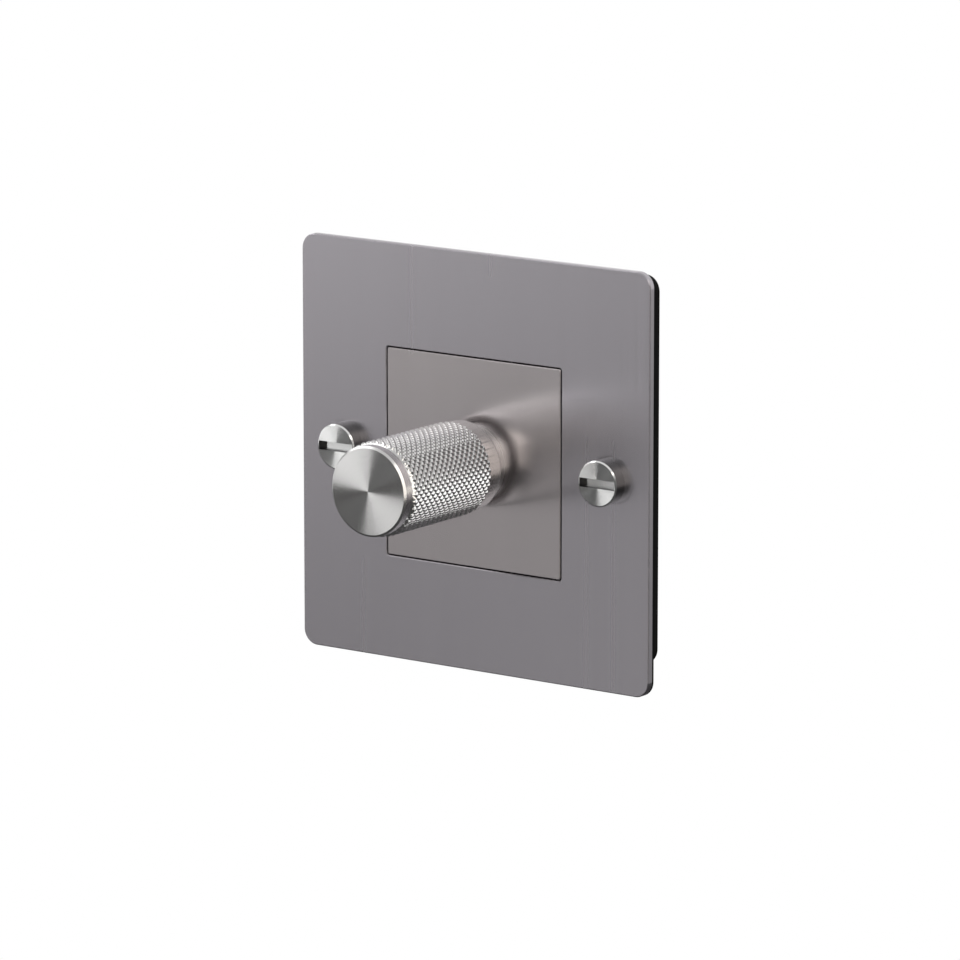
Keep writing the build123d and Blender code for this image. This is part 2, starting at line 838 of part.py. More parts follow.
# Screws that hold the board to the housing's bosses
with BuildPart() as board_screws:
    with BuildSketch(facing(case_rear)):
        with Locations(*boss_places):
            Circle(small_screw_head_r)
    extrude(amount=small_screw_head_h)
    with BuildSketch(facing(case_rear + board_screw_length)):
        with Locations(*boss_places):
            Circle(small_screw_r)
    extrude(amount=board_screw_length)
    with BuildSketch(facing(case_rear - small_screw_head_h / 2)):
        with Locations(*boss_places):
            Rectangle(2 * small_screw_r, terminal_screw_slot)
            Rectangle(terminal_screw_slot, 2 * small_screw_r)
    extrude(amount=small_screw_head_h / 2, mode=Mode.SUBTRACT)
board_screws.part.label = "board_screws"

# Switch case: square moulded box on the back of the board
with BuildPart() as switch_case:
    with BuildSketch(facing(switch_rear)):
        Rectangle(switch_side, switch_side)
    extrude(amount=switch_depth)
    with BuildSketch(facing(switch_floor)):
        Rectangle(switch_side - 2 * switch_wall, switch_side - 2 * switch_wall)
    extrude(amount=switch_depth - switch_wall, mode=Mode.SUBTRACT)
switch_case.part.label = "switch_case"

# Plunger that the shaft pushes: nose, flange and a stem for the spring
with BuildPart() as switch_plunger:
    with BuildSketch(Plane.XY):
        with BuildLine():
            Polyline(
                (0, nose_front),
                (plunger_nose_r, nose_front),
                (plunger_nose_r, plunger_flange_front),
                (plunger_flange_r, plunger_flange_front),
                (plunger_flange_r, plunger_flange_rear),
                (plunger_stem_r, plunger_flange_rear),
                (plunger_stem_r, bridge_rear + plunger_stem_length),
                (0, bridge_rear + plunger_stem_length),
                close=True,
            )
        make_face()
    revolve(axis=Axis.Y)
switch_plunger.part.label = "switch_plunger"

# Contact bridge: brass strip on the plunger's stem
with BuildPart() as contact_bridge:
    with BuildSketch(facing(bridge_rear)):
        SlotOverall(bridge_l, bridge_w)
        Circle(bridge_ring_r)
        Circle(plunger_stem_r + shaft_fit, mode=Mode.SUBTRACT)
    extrude(amount=bridge_t)
contact_bridge.part.label = "contact_bridge"


def fixed_contact(side):
    """An angled brass contact, with its leg in the board; side is -1 for left and 1 for right."""
    with BuildPart() as contact:
        with BuildSketch(Plane.XY.offset(-contact_w / 2)):
            with BuildLine():
                Polyline(
                    (side * contact_inner, contact_front),
                    (side * contact_inner, contact_front + contact_t),
                    (side * contact_outer, contact_front + contact_t),
                    (side * contact_outer, board_rear - contact_leg_depth),
                    (side * (contact_outer - contact_leg_t), board_rear - contact_leg_depth),
                    (side * (contact_outer - contact_leg_t), contact_front),
                    close=True,
                )
            make_face()
        extrude(amount=contact_w)
    return contact.part


left_fixed_contact = fixed_contact(-1)
left_fixed_contact.label = "left_fixed_contact"
right_fixed_contact = fixed_contact(1)
right_fixed_contact.label = "right_fixed_contact"

# Return spring round the plunger's stem, its wire drawn with four flats
spring_start = bridge_rear + spring_end_gap + spring_wire_r
spring_height = switch_floor - spring_end_gap - spring_wire_r - spring_start
with BuildPart() as return_spring:
    with BuildLine() as coil:
        Helix(
            pitch=spring_height / spring_turns,
            height=spring_height,
            radius=spring_r,
            center=(0, spring_start, 0),
            direction=(0, 1, 0),
        )
    with BuildSketch(Plane(origin=coil.line @ 0, z_dir=coil.line % 0)):
        RegularPolygon(spring_wire_r, 4)
    sweep(path=coil.line, is_frenet=True)
return_spring.part.label = "return_spring"

# Transistors lie against the mounting plate on thin insulators and their legs bend to the board
transistor_l = transistor_body_l + transistor_tab_l
seat = mounting_plate_t + insulator_t
leg_front = seat + transistor_body_t / 2


def transistor(side):
    """A flat power transistor: metal tab with a hole, moulded body and three bent legs."""
    x = side * transistor_x
    with BuildPart() as device:
        with BuildSketch(facing(seat + transistor_tab_t)):
            with Locations((x, 0)):
                Rectangle(transistor_w, transistor_l)
            with Locations((x, transistor_l / 2 - transistor_tab_l / 2)):
                Circle(transistor_hole_r, mode=Mode.SUBTRACT)
        extrude(amount=transistor_tab_t)
        with BuildSketch(facing(seat + transistor_body_t)):
            with Locations((x, -transistor_tab_l / 2)):
                Rectangle(transistor_w, transistor_body_l)
        extrude(amount=transistor_body_t)
        with BuildSketch(facing(leg_front + transistor_leg)):
            with Locations(*[(x + p, (transistor_leg_z - transistor_l / 2) / 2) for p in leg_row]):
                Rectangle(transistor_leg, -transistor_leg_z - transistor_l / 2 + transistor_leg)
        extrude(amount=transistor_leg)
        with BuildSketch(facing(board_rear + pin_stub)):
            with Locations(*[(x + p, transistor_leg_z) for p in leg_row]):
                Rectangle(transistor_leg, transistor_leg)
        extrude(amount=board_rear + pin_stub - leg_front)
    return device.part


def insulator(side):
    """A thin sheet between a transistor and the mounting plate."""
    with BuildPart() as sheet:
        with BuildSketch(facing(seat)):
            with Locations((side * transistor_x, 0)):
                Rectangle(transistor_w + 2 * insulator_margin, transistor_l + 2 * insulator_margin)
        extrude(amount=insulator_t)
    return sheet.part


transistors_and_sheets = []
for side, name in ((-1, "left"), (1, "right")):
    device = transistor(side)
    device.label = f"{name}_transistor"
    sheet = insulator(side)
    sheet.label = f"{name}_insulator"
    transistors_and_sheets += [device, sheet]

# Choke: ring core with a winding sleeve over most of it and two leads in the board
choke_front = board_rear + choke_lift
choke_axis = Axis((choke_x, 0, 0), (0, 1, 0))
with BuildPart() as choke_core:
    with BuildSketch(Plane(origin=(choke_x, 0, 0))):
        with Locations((choke_middle_r, choke_front + choke_core_h / 2)):
            Rectangle(choke_core_outer_r - choke_core_inner_r, choke_core_h)
    revolve(axis=choke_axis)
choke_core.part.label = "choke_core"

core_section_w = choke_core_outer_r - choke_core_inner_r
with BuildPart() as choke_winding:
    with BuildSketch(Plane(origin=(choke_x, 0, 0))) as winding_section:
        with Locations((choke_middle_r, choke_front + choke_core_h / 2)):
            Rectangle(
                core_section_w + 2 * (winding_gap + winding_t),
                choke_core_h + 2 * (winding_gap + winding_t),
            )
        chamfer(winding_section.vertices(), winding_t / 2)
        with Locations((choke_middle_r, choke_front + choke_core_h / 2)):
            Rectangle(
                core_section_w + 2 * winding_gap, choke_core_h + 2 * winding_gap, mode=Mode.SUBTRACT
            )
    revolve(axis=choke_axis, revolution_arc=winding_angle)
    with BuildSketch(facing(choke_front - winding_gap - winding_t / 2)):
        with Locations(*choke_lead_places):
            Circle(choke_lead_r)
    extrude(amount=choke_lift - winding_gap - winding_t / 2 + contact_leg_depth, dir=(0, -1, 0))
choke_winding.part.label = "choke_winding"

# Film capacitor: moulded box on the board
with BuildPart() as film_capacitor:
    with BuildSketch(facing(board_rear + film_depth)):
        with Locations((film_x, 0)):
            RectangleRounded(film_w, film_h, film_corner_r)
    extrude(amount=film_depth)
    chamfer(film_capacitor.faces().sort_by(Axis.Y)[-1].edges(), film_corner_r * 0.8)
film_capacitor.part.label = "film_capacitor"

# Smoothing capacitor: can with a crimp near the board
with BuildPart() as smoothing_capacitor:
    with BuildSketch(Plane(origin=(0, 0, can_z))):
        with BuildLine():
            can_foot = board_rear
            Polyline(
                (0, can_foot),
                (can_r, can_foot),
                (can_r, can_foot + can_groove_place - can_groove),
                (can_r - can_groove, can_foot + can_groove_place),
                (can_r, can_foot + can_groove_place + can_groove),
                (can_r, can_foot + can_length - can_groove),
                (can_r - can_groove, can_foot + can_length),
                (0, can_foot + can_length),
                close=True,
            )
        make_face()
    revolve(axis=Axis((0, 0, can_z), (0, 1, 0)))
smoothing_capacitor.part.label = "smoothing_capacitor"

# Control chip on the front of the board
chip_legs = [
    (side * (chip_w / 2 + chip_leg_reach / 2 - chip_leg_t), chip_z + (i - 1.5) * chip_leg_pitch)
    for side in (-1, 1)
    for i in range(4)
]
with BuildPart() as control_chip:
    with BuildSketch(facing(case_rear - chip_leg_t / 2)):
        with Locations((0, chip_z)):
            Rectangle(chip_w, chip_h)
    extrude(amount=chip_t)
    with BuildSketch(facing(case_rear)):
        with Locations(*chip_legs):
            Rectangle(chip_leg_reach, chip_leg_w)
    extrude(amount=chip_leg_t)
control_chip.part.label = "control_chip"

# Terminal block: three chambers, open below for the wires and behind for the screwdriver
block_half = terminal_pitch + clamp_w / 2 + clamp_clearance + block_wall
block_top = clamp_bottom + clamp_h + clamp_clearance + block_wall
with BuildPart() as terminal_block:
    with BuildSketch(facing(block_rear)):
        with Locations((0, (block_bottom + block_top) / 2)):
            Rectangle(2 * block_half, block_top - block_bottom)
    extrude(amount=block_rear - board_rear)
    with BuildSketch(Plane.XY.offset(block_bottom)):
        with Locations(*[(x, (clamp_front + clamp_rear) / 2) for x in terminal_places]):
            Rectangle(clamp_w + 2 * clamp_clearance, clamp_depth + 2 * clamp_clearance)
    extrude(amount=clamp_h + 2 * clamp_clearance, mode=Mode.SUBTRACT)
    with BuildSketch(facing(block_rear)):
        with Locations(*[(x, terminal_screw_z) for x in terminal_places]):
            Circle(driver_hole_r)
    extrude(amount=block_rear_wall + clamp_clearance, mode=Mode.SUBTRACT)
terminal_block.part.label = "terminal_block"


def terminal_clamp(x):
    """A brass block with a wire bore that opens below and a threaded hole from behind."""
    with BuildPart() as clamp:
        with BuildSketch(Plane.XY.offset(clamp_bottom)):
            with Locations((x, (clamp_front + clamp_rear) / 2)):
                Rectangle(clamp_w, clamp_depth)
        extrude(amount=clamp_h)
        with BuildSketch(Plane.XY.offset(clamp_bottom)):
            with Locations((x, clamp_bore_y)):
                Circle(wire_bore_r)
        extrude(amount=clamp_h, mode=Mode.SUBTRACT)
        with BuildSketch(facing(clamp_rear)):
            with Locations((x, terminal_screw_z)):
                Circle(terminal_screw_r + thread_clearance)
        extrude(amount=clamp_rear - clamp_bore_y, mode=Mode.SUBTRACT)
    return clamp.part


terminal_clamps = []
for x, name in zip(terminal_places, ("load_clamp", "supply_clamp", "two_way_clamp")):
    clamp = terminal_clamp(x)
    clamp.label = name
    terminal_clamps.append(clamp)

# Terminal screws, backed off so that their tips clear the wire bores
screw_tip = clamp_bore_y + wire_bore_r + clamp_clearance
terminal_head_front = clamp_rear + running_gap
with BuildPart() as terminal_screws:
    with BuildSketch(facing(terminal_head_front + terminal_screw_head_h)):
        with Locations(*[(x, terminal_screw_z) for x in terminal_places]):
            Circle(terminal_screw_head_r)
    extrude(amount=terminal_screw_head_h)
    with BuildSketch(facing(terminal_head_front)):
        with Locations(*[(x, terminal_screw_z) for x in terminal_places]):
            Circle(terminal_screw_r)
    extrude(amount=terminal_head_front - screw_tip)
    with BuildSketch(facing(terminal_head_front + terminal_screw_head_h)):
        with Locations(*[(x, terminal_screw_z) for x in terminal_places]):
            Rectangle(2 * terminal_screw_head_r, terminal_screw_slot)
    extrude(amount=terminal_screw_head_h / 2, mode=Mode.SUBTRACT)
terminal_screws.part.label = "terminal_screws"

export_pieces = [
    face_plate.part,
    centre_plate.part,
    gasket.part,
    backing_frame.part,
    left_fixing_screw,
    right_fixing_screw,
    plate_nuts.part,
    bush.part,
    lock_washer.part,
    bush_nut.part,
    shaft.part,
    retaining_clip.part,
    knob.part,
    knob_insert.part,
    mounting_plate.part,
    module_housing.part,
    housing_screws.part,
    control_case.part,
    wiper_rotor.part,
    wiper.part,
    track_disc.part,
    control_pins.part,
    circuit_board.part,
    board_screws.part,
    switch_case.part,
    switch_plunger.part,
    contact_bridge.part,
    left_fixed_contact,
    right_fixed_contact,
    return_spring.part,
    *transistors_and_sheets,
    choke_core.part,
    choke_winding.part,
    film_capacitor.part,
    smoothing_capacitor.part,
    control_chip.part,
    terminal_block.part,
    *terminal_clamps,
    terminal_screws.part,
]

for piece in export_pieces:
    export_step(piece, f"parts/{piece.label}.step")
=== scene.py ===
"""Push dimmer switch: finishes for every piece, the knurled knob and a plain studio.

Laid out as an add-on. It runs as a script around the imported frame, in metres.
"""

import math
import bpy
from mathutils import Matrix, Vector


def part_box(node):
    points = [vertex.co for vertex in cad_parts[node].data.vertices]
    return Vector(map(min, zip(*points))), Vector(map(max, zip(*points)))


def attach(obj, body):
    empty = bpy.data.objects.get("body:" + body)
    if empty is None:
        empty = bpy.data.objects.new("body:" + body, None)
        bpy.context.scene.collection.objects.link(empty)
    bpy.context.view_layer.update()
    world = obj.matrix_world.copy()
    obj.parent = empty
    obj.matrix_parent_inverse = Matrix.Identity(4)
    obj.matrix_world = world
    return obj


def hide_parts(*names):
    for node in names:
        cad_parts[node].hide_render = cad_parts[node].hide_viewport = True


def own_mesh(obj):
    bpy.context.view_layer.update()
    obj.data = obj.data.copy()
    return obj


bl_info = {
    "name": "Push Dimmer Switch",
    "version": (1, 0, 0),
    "blender": (4, 5, 0),
    "location": "View3D > Sidebar > Dimmer",
    "description": "Steel dimmer switch with a knurled push knob, its finishes and its studio",
    "category": "Object",
}

import bmesh
import bpy
from mathutils import Vector

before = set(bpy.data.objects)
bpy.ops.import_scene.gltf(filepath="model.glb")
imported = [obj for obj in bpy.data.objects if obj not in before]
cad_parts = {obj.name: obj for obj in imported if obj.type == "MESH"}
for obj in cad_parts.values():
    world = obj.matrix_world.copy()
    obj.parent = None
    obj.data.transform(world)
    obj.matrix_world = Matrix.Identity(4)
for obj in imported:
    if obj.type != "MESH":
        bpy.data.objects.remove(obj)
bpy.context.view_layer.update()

MM = 0.001
PER_MM = 1000.0
# Edges that turn more than this are drawn sharp.
SHARP_ANGLE = math.radians(30)
# Slack for telling on which side of a plane a face lies.
NEAR = 0.01 * MM
# Radii of the mesh rows on the knob's crowned face, as shares of the face's radius.
FACE_ROWS = (0.15, 0.35, 0.55, 0.75, 0.9, 1.0)
# Turns in degrees of the mesh rows on the knob's rounded rear edge.
ROUND_ANGLES = (0, 22, 45, 68, 90)
# Mesh steps round a threaded rod, mesh rows along each turn of thread, and the thread's depth
# as a share of its pitch. The crests are cut off where the flanks reach CREST_CUT times the depth.
ROD_STEPS = 24
ROWS_PER_TURN = 6
THREAD_DEPTH = 0.6
CREST_CUT = 1.15
# Mesh steps round a wire, and along each turn of the return spring.
WIRE_STEPS = 8
COIL_STEPS = 24
# How much the spring's pitch drops at its closed ends, as a share of the mean pitch.
CLOSED_ENDS = 0.6
# Heights of a direction (its z) at which the studio's ground, walls and ceiling have their levels.
ROOM_HEIGHTS = (-0.5, 0.15, 0.65)
# Depths (y) and heights (z) of a direction between which the white backdrop fades in.
BACKDROP_DEPTHS = (0.0, 0.25)
BACKDROP_HEIGHTS = (-0.35, 0.0)
# Each softbox: its name, its level's setting, and the azimuths from the front and the elevations
# in degrees that it spans.
SOFTBOXES = (
    ("key_left", "key", (-33.0, -85.0), (-11.0, 50.0)),
    ("side_right", "side", (68.0, 106.0), (-15.0, 60.0)),
    ("fill_front_right", "fill", (18.0, 46.0), (-14.0, 40.0)),
    ("strip_front_left", "strip", (-22.0, -12.0), (-4.0, 30.0)),
    ("low_front", "low", (-33.0, 5.0), (-48.0, -12.3)),
)


def linear(hex_value):
    """The linear RGBA of an sRGB hex value."""
    shares = [(hex_value >> shift & 255) / 255 for shift in (16, 8, 0)]
    red, green, blue = (c / 12.92 if c <= 0.04045 else ((c + 0.055) / 1.055) ** 2.4 for c in shares)
    return red, green, blue, 1.0


def length(name, description, millimetres):
    """A length property with its default in millimetres."""
    return bpy.props.FloatProperty(
        name=name, description=description, default=millimetres * MM, min=0.0, unit="LENGTH",
        precision=6,
    )


def colour(name, description, hex_value):
    """A colour property with its default as an sRGB hex value."""
    return bpy.props.FloatVectorProperty(
        name=name, description=description, default=linear(hex_value), size=4, min=0.0, max=1.0,
        subtype="COLOR",
    )


def share(name, description, value):
    """A property from nought to one."""
    return bpy.props.FloatProperty(
        name=name, description=description, default=value, min=0.0, max=1.0
    )


def turn(name, description, degrees):
    """An angle property with its default in degrees."""
    return bpy.props.FloatProperty(
        name=name, description=description, default=math.radians(degrees), subtype="ANGLE"
    )


def lamp_level(name, description, value):
    """The level of a lamp, where one is the white of the backdrop."""
    return bpy.props.FloatProperty(name=name, description=description, default=value, min=0.0)


def whole(name, description, value, least):
    """A whole number with its least value."""
    return bpy.props.IntProperty(name=name, description=description, default=value, min=least)


class KnobSettings(bpy.types.PropertyGroup):
    """Sizes and finish of the turned and knurled knob."""

    teeth: whole("Teeth", "Knurl points in one row round the barrel", 38, 8)
    divisions: whole("Divisions", "Mesh steps from a knurl point to its groove", 4, 1)
    knurl_pitch: length("Knurl Pitch", "Distance between rows of points along the barrel", 1.5)
    knurl_depth: length("Knurl Depth", "From the grooves up to where sharp points would be", 0.78)
    steep: bpy.props.FloatProperty(
        name="Steep Family", description="How many times steeper one family of grooves is",
        default=1.35, min=1.0,
    )
    blunt: share("Blunt Points", "Share of that height left on the blunt points", 0.6)
    crown: length("Face Crown", "How far the middle of the face stands proud of its rim", 0.08)
    face_r: length("Face Radius", "Radius of the flat face inside its bevel", 8.1)
    front_r: length("Front Band Radius", "Radius of the plain band behind the face", 8.5)
    groove_r: length("Groove Radius", "Radius of the groove in front of the knurl", 8.25)
    rear_r: length("Rear Band Radius", "Radius of the plain band next to the plate", 8.7)
    face_bevel: length("Face Bevel", "Length of the bevel round the face", 0.4)
    front_band: length("Front Band", "Length of the plain band behind the face", 1.7)
    groove_w: length("Groove Width", "Width of the groove's floor", 0.2)
    knurl_lead: length("Knurl Lead", "Length over which the knurl rises", 0.4)
    rear_band: length("Rear Band", "Length of the plain band next to the plate", 3.6)
    rear_bevel: length("Rear Edge Radius", "Radius of the rounded rear edge", 0.4)
    recess_r: length("Recess Radius", "Radius of the hollow round the dress nut", 7.65)
    recess_depth: length("Recess Depth", "Depth of the hollow round the dress nut", 5.0)
    bore_r: length("Bore Radius", "Radius of the bore for the moulded insert", 4.65)
    face_wall: length("Face Wall", "Steel left in front of the bore", 9.0)
    steel: colour("Knob Steel", "Colour of the turned steel", 0xD3D2D1)
    face_roughness: share("Face Roughness", "Roughness of the turned face", 0.19)
    face_streak: share("Face Streak", "How far the turning marks stretch the highlights", 1.0)


class PlateSettings(bpy.types.PropertyGroup):
    """Finish of the two front plates, the layers behind them and the fixing screws."""

    steel: colour("Plate Steel", "Colour of the brushed steel", 0xAEAAAF)
    insert_steel: colour("Centre Plate Steel", "Colour of the warmer centre plate", 0xB6B0B1)
    roughness: share("Plate Roughness", "Roughness of the brushed steel", 0.27)
    streak: share("Brush Streak", "How far brushing stretches highlights sideways", 0.7)
    line_width: length("Brush Line Width", "Width of one brushed line", 0.5)
    line_length: length("Brush Line Length", "Length of one brushed line", 80.0)
    screw_steel: colour("Screw Steel", "Colour of the fixing screws", 0xEEEEED)
    # Painted shade: the heads' sides are the same steel as their faces, coloured darker so that
    # they look shaded; they are only a little rougher.
    side_shade_steel: colour("Screw Sides", "Colour of the duller sides of the screws' heads", 0x787877)
    # Painted shade: the slots' walls are the same steel as the screws, coloured near black to stand
    # in for the shade inside the slots.
    slot_shade_wall: colour("Slot Walls", "Colour of the unpolished walls of the screws' slots", 0x2C2C2D)
    slot_depth: length("Slot Depth", "Depth of the screws' slots", 1.3)
    neck_end: length("Neck End", "Depth in the wall at which the screws' thread starts", 0.5)
    thread_r: length("Thread Radius", "Radius over the fixing screws' thread", 1.75)
    thread_pitch: length("Thread Pitch", "Distance between turns of the fixing screws' thread", 0.6)
    point_chamfer: length("Point Chamfer", "Length of the taper at the screws' points", 0.6)
    rubber: colour("Gasket Rubber", "Colour of the gasket", 0x080808)
    nylon: colour("Backing Nylon", "Colour of the backing frame", 0x090909)


class ModuleSettings(bpy.types.PropertyGroup):
    """Colours of the module behind the wall."""

    housing: colour("Housing", "Colour of the moulded housing", 0x2B2B2D)
    terminal: colour("Terminal Block", "Colour of the terminal block", 0x3A3A3C)
    zinc: colour("Zinc", "Colour of the zinc plating", 0xC4C7CB)
    nickel: colour("Nickel", "Colour of the nickel plating", 0xC9C2B4)
    brass: colour("Brass", "Colour of the bare brass", 0xD9B76A)
    aluminium: colour("Aluminium", "Colour of the mounting plate", 0xD0D1D3)
    solder_mask: colour("Solder Mask", "Colour of the circuit board", 0x14562F)
    epoxy: colour("Epoxy", "Colour of the moulded semiconductors", 0x1D1D1E)
    pad: colour("Pad", "Colour of the silicone insulators", 0x8E9094)
    ferrite: colour("Ferrite", "Colour of the coated ring core", 0x3B4A3F)
    copper: colour("Copper", "Colour of the enamelled wire", 0xB5622F)
    bush_flange: length("Bush Flange", "Thickness of the bush's flange", 1.5)
    bush_thread_r: length("Bush Thread Radius", "Radius over the bush's thread", 4.45)
    bush_pitch: length("Bush Pitch", "Distance between turns of the bush's thread", 0.75)
    bush_chamfer: length("Bush Chamfer", "Length of the taper at the bush's ends", 0.4)
    bush_bore_r: length("Bush Bore", "Radius of the bore for the shaft", 3.05)
    choke_turns: whole("Choke Turns", "Turns of wire on the core", 21, 2)
    choke_hole_r: length("Choke Hole", "Radius of the hole through the choke's core", 3.4)
    wire_r: length("Wire Radius", "Radius of the choke's wire", 0.3)
    winding_start: turn("Winding Start", "Angle at which the winding starts", 20)
    winding_end: turn("Winding End", "Angle at which the winding ends", 280)
    spring_turns: whole("Spring Turns", "Turns of the return spring", 4, 2)
    spring_wire_r: length("Spring Wire", "Radius of the return spring's wire", 0.2)
    push_travel: length("Push Travel", "How far the knob and the plunger are pushed", 1.5)
    transistor_body: length("Transistor Body", "Length of the transistors' moulded part", 9.2)
    transistor_tab: length("Transistor Tab", "Length of the transistors' bare metal tab", 6.0)
    chip_half_w: length("Chip Half Width", "Half the width of the chip's moulded part", 3.0)
    tin: colour("Tin", "Colour of tinned legs and tabs", 0xB9BCC0)
    film: colour("Film Capacitor", "Colour of the moulded capacitor", 0xB8A02C)
    sleeve: colour("Sleeve", "Colour of the shrunk sleeve", 0x1B2440)


class StudioSettings(bpy.types.PropertyGroup):
    """Camera, world and lamps."""

    camera_place: bpy.props.FloatVectorProperty(
        name="Camera Place", description="Where the camera stands",
        default=(0.700225, -0.976000, 0.242279), subtype="TRANSLATION", unit="LENGTH",
    )
    camera_yaw: turn("Camera Yaw", "Turn from the front", 35.678)
    camera_pitch: turn("Camera Pitch", "Tilt below the horizon", 11.576)
    camera_lens: bpy.props.FloatProperty(
        name="Lens", description="Focal length on a 36 mm sensor, in millimetres", default=244.583
    )
    sky: share("Sky", "Level of the studio's ceiling", 0.73)
    horizon: share("Horizon", "Level of the studio's walls", 0.13)
    ground: share("Ground", "Level of the studio's ground", 0.07)
    key: lamp_level("Key Level", "Level of the left softbox", 1.58)
    side: lamp_level("Side Level", "Level of the right softbox", 1.1)
    fill: lamp_level("Fill Level", "Level of the front right card", 1.75)
    warm: colour("Warm Card", "Colour of the front right card's light", 0xFFF8F0)
    strip: lamp_level("Strip Level", "Level of the narrow strip", 0.8)
    low: lamp_level("Low Level", "Level of the low front softbox", 0.92)


def add_node(tree, kind, inputs=None, **settings):
    """Adds a node, sets its properties and gives each named input a value or a socket to follow."""
    made = tree.nodes.new(kind)
    for name, value in settings.items():
        setattr(made, name, value)
    for name, value in (inputs or {}).items():
        if isinstance(value, bpy.types.NodeSocket):
            tree.links.new(value, made.inputs[name])
        else:
            made.inputs[name].default_value = value
    return made


def start_material(name, **shader_inputs):
    """A new material with one principled shader; returns the material, its tree and the shader.

    shader_inputs are the shader's inputs that hold one value, such as Metallic.
    """
    material = bpy.data.materials.new(name)
    material.use_nodes = True
    tree = material.node_tree
    tree.nodes.clear()
    shader = add_node(tree, "ShaderNodeBsdfPrincipled", shader_inputs)
    add_node(tree, "ShaderNodeOutputMaterial", {"Surface": shader.outputs["BSDF"]})
    return material, tree, shader


def stretched_noise(tree, widths_mm, detail=2.0, roughness=0.5):
    """Noise in the frame's own space, with grains as long along x, y and z as widths_mm says."""
    place = add_node(tree, "ShaderNodeTexCoord")
    scale = add_node(
        tree, "ShaderNodeMapping",
        {"Vector": place.outputs["Object"], "Scale": [PER_MM / width for width in widths_mm]},
    )
    return add_node(
        tree, "ShaderNodeTexNoise",
        {"Vector": scale.outputs["Vector"], "Scale": 1.0, "Detail": detail, "Roughness": roughness},
    ).outputs["Fac"]


def spread(tree, factor, low, high):
    """Maps the middle of a noise, where most of its values lie, to the range from low to high."""
    return add_node(
        tree, "ShaderNodeMapRange",
        {"Value": factor, "From Min": 0.3, "From Max": 0.7, "To Min": low, "To Max": high},
    ).outputs["Result"]


def tint(tree, factor, base, low, high):
    """The base colour made darker or lighter by factor, between low and high times its level."""
    level = spread(tree, factor, low, high)
    return add_node(
        tree, "ShaderNodeMix",
        {0: 1.0, 6: tuple(base), 7: level}, data_type="RGBA", blend_type="MULTIPLY",
    ).outputs[2]


def bump(tree, height, depth_mm, strength=1.0):
    """A bump normal with the given full depth in millimetres."""
    inputs = {"Height": height, "Distance": depth_mm * MM, "Strength": strength}
    return add_node(tree, "ShaderNodeBump", inputs).outputs["Normal"]


def feed(tree, shader, outputs):
    """Links each output to the shader's input of that name."""
    for name, output in outputs.items():
        tree.links.new(output, shader.inputs[name])


def streak_highlights(tree, shader, axis, amount):
    """Stretches the highlights across lines that run round an axis through the frame's origin."""
    tangent = add_node(tree, "ShaderNodeTangent", direction_type="RADIAL", axis=axis)
    feed(tree, shader, {"Tangent": tangent.outputs["Tangent"]})
    shader.inputs["Anisotropic"].default_value = amount


def finish_nodes(material, *names):
    """Gives the CAD nodes their finished material."""
    for name in names:
        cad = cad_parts[name]
        if not cad.material_slots:
            cad.data.materials.append(material)
        for material_slot in cad.material_slots:
            material_slot.material = material


def vertically_brushed_steel(name, base, settings):
    """Stainless sheet, linished upright with a fine belt.

    The eye sees each highlight smeared sideways, and faint upright lines.
    """
    material, tree, shader = start_material(name, Metallic=1.0)
    # Belt lines are about 0.05 mm wide, which is too fine here, so they are drawn 0.5 mm wide.
    across = settings.line_width / MM
    along = settings.line_length / MM
    lines = stretched_noise(tree, (across, across * 4, along), detail=1.0)
    wide = stretched_noise(tree, (across * 6, across * 6, along * 3), detail=1.0)
    feed(tree, shader, {
        "Base Color": tint(tree, lines, base, 0.985, 1.015),
        "Roughness": spread(tree, wide, settings.roughness - 0.004, settings.roughness + 0.004),
    })
    streak_highlights(tree, shader, "Z", settings.streak)
    return material


def turned_face_steel(name, base, roughness, streak, centre_x):
    """Stainless end face cut on a lathe, with rings so fine that light spreads along each radius.

    The eye sees bright and dark sectors that meet in the middle.
    """
    material, tree, shader = start_material(name, Metallic=1.0, Roughness=roughness)
    place = add_node(tree, "ShaderNodeTexCoord")
    centred = add_node(
        tree, "ShaderNodeVectorMath",
        {0: place.outputs["Object"], 1: (-centre_x, 0.0, 0.0)}, operation="ADD",
    )
    flat = add_node(
        tree, "ShaderNodeVectorMath",
        {0: centred.outputs["Vector"], 1: (1.0, 0.0, 1.0)}, operation="MULTIPLY",
    )
    radius = add_node(tree, "ShaderNodeVectorMath", {0: flat.outputs["Vector"]}, operation="LENGTH")
    # The tool feeds 0.05 mm a turn, which is too fine here, so the rings are drawn 0.16 mm apart.
    ring_mm = 0.16
    ring = add_node(
        tree, "ShaderNodeMath",
        {0: radius.outputs["Value"], 1: PER_MM / ring_mm}, operation="MULTIPLY",
    )
    ring_noise = add_node(
        tree, "ShaderNodeTexNoise",
        {"W": ring.outputs["Value"], "Scale": 1.0, "Detail": 2.0}, noise_dimensions="1D",
    ).outputs["Fac"]
    feed(tree, shader, {
        "Base Color": tint(tree, ring_noise, base, 0.93, 1.04),
        "Normal": bump(tree, ring_noise, depth_mm=0.0015, strength=0.4),
    })
    streak_highlights(tree, shader, "Y", streak)
    # A quarter turn, so that the light spreads along the radius and not along the rings.
    shader.inputs["Anisotropic Rotation"].default_value = 0.25
    return material


def milled_slot_steel(name, base, roughness):
    """The floor of a slot cut by a side mill, with fine lines along X.

    The eye sees light spread up and down across the lines.
    """
    material, tree, shader = start_material(name, Metallic=1.0, Roughness=roughness)
    # The cutter's lines are 9 mm long and 0.12 mm wide.
    lines = stretched_noise(tree, (9.0, 9.0, 0.12), detail=2.0)
    feed(tree, shader, {"Base Color": tint(tree, lines, base, 0.94, 1.03)})
    streak_highlights(tree, shader, "X", 0.9)
    return material


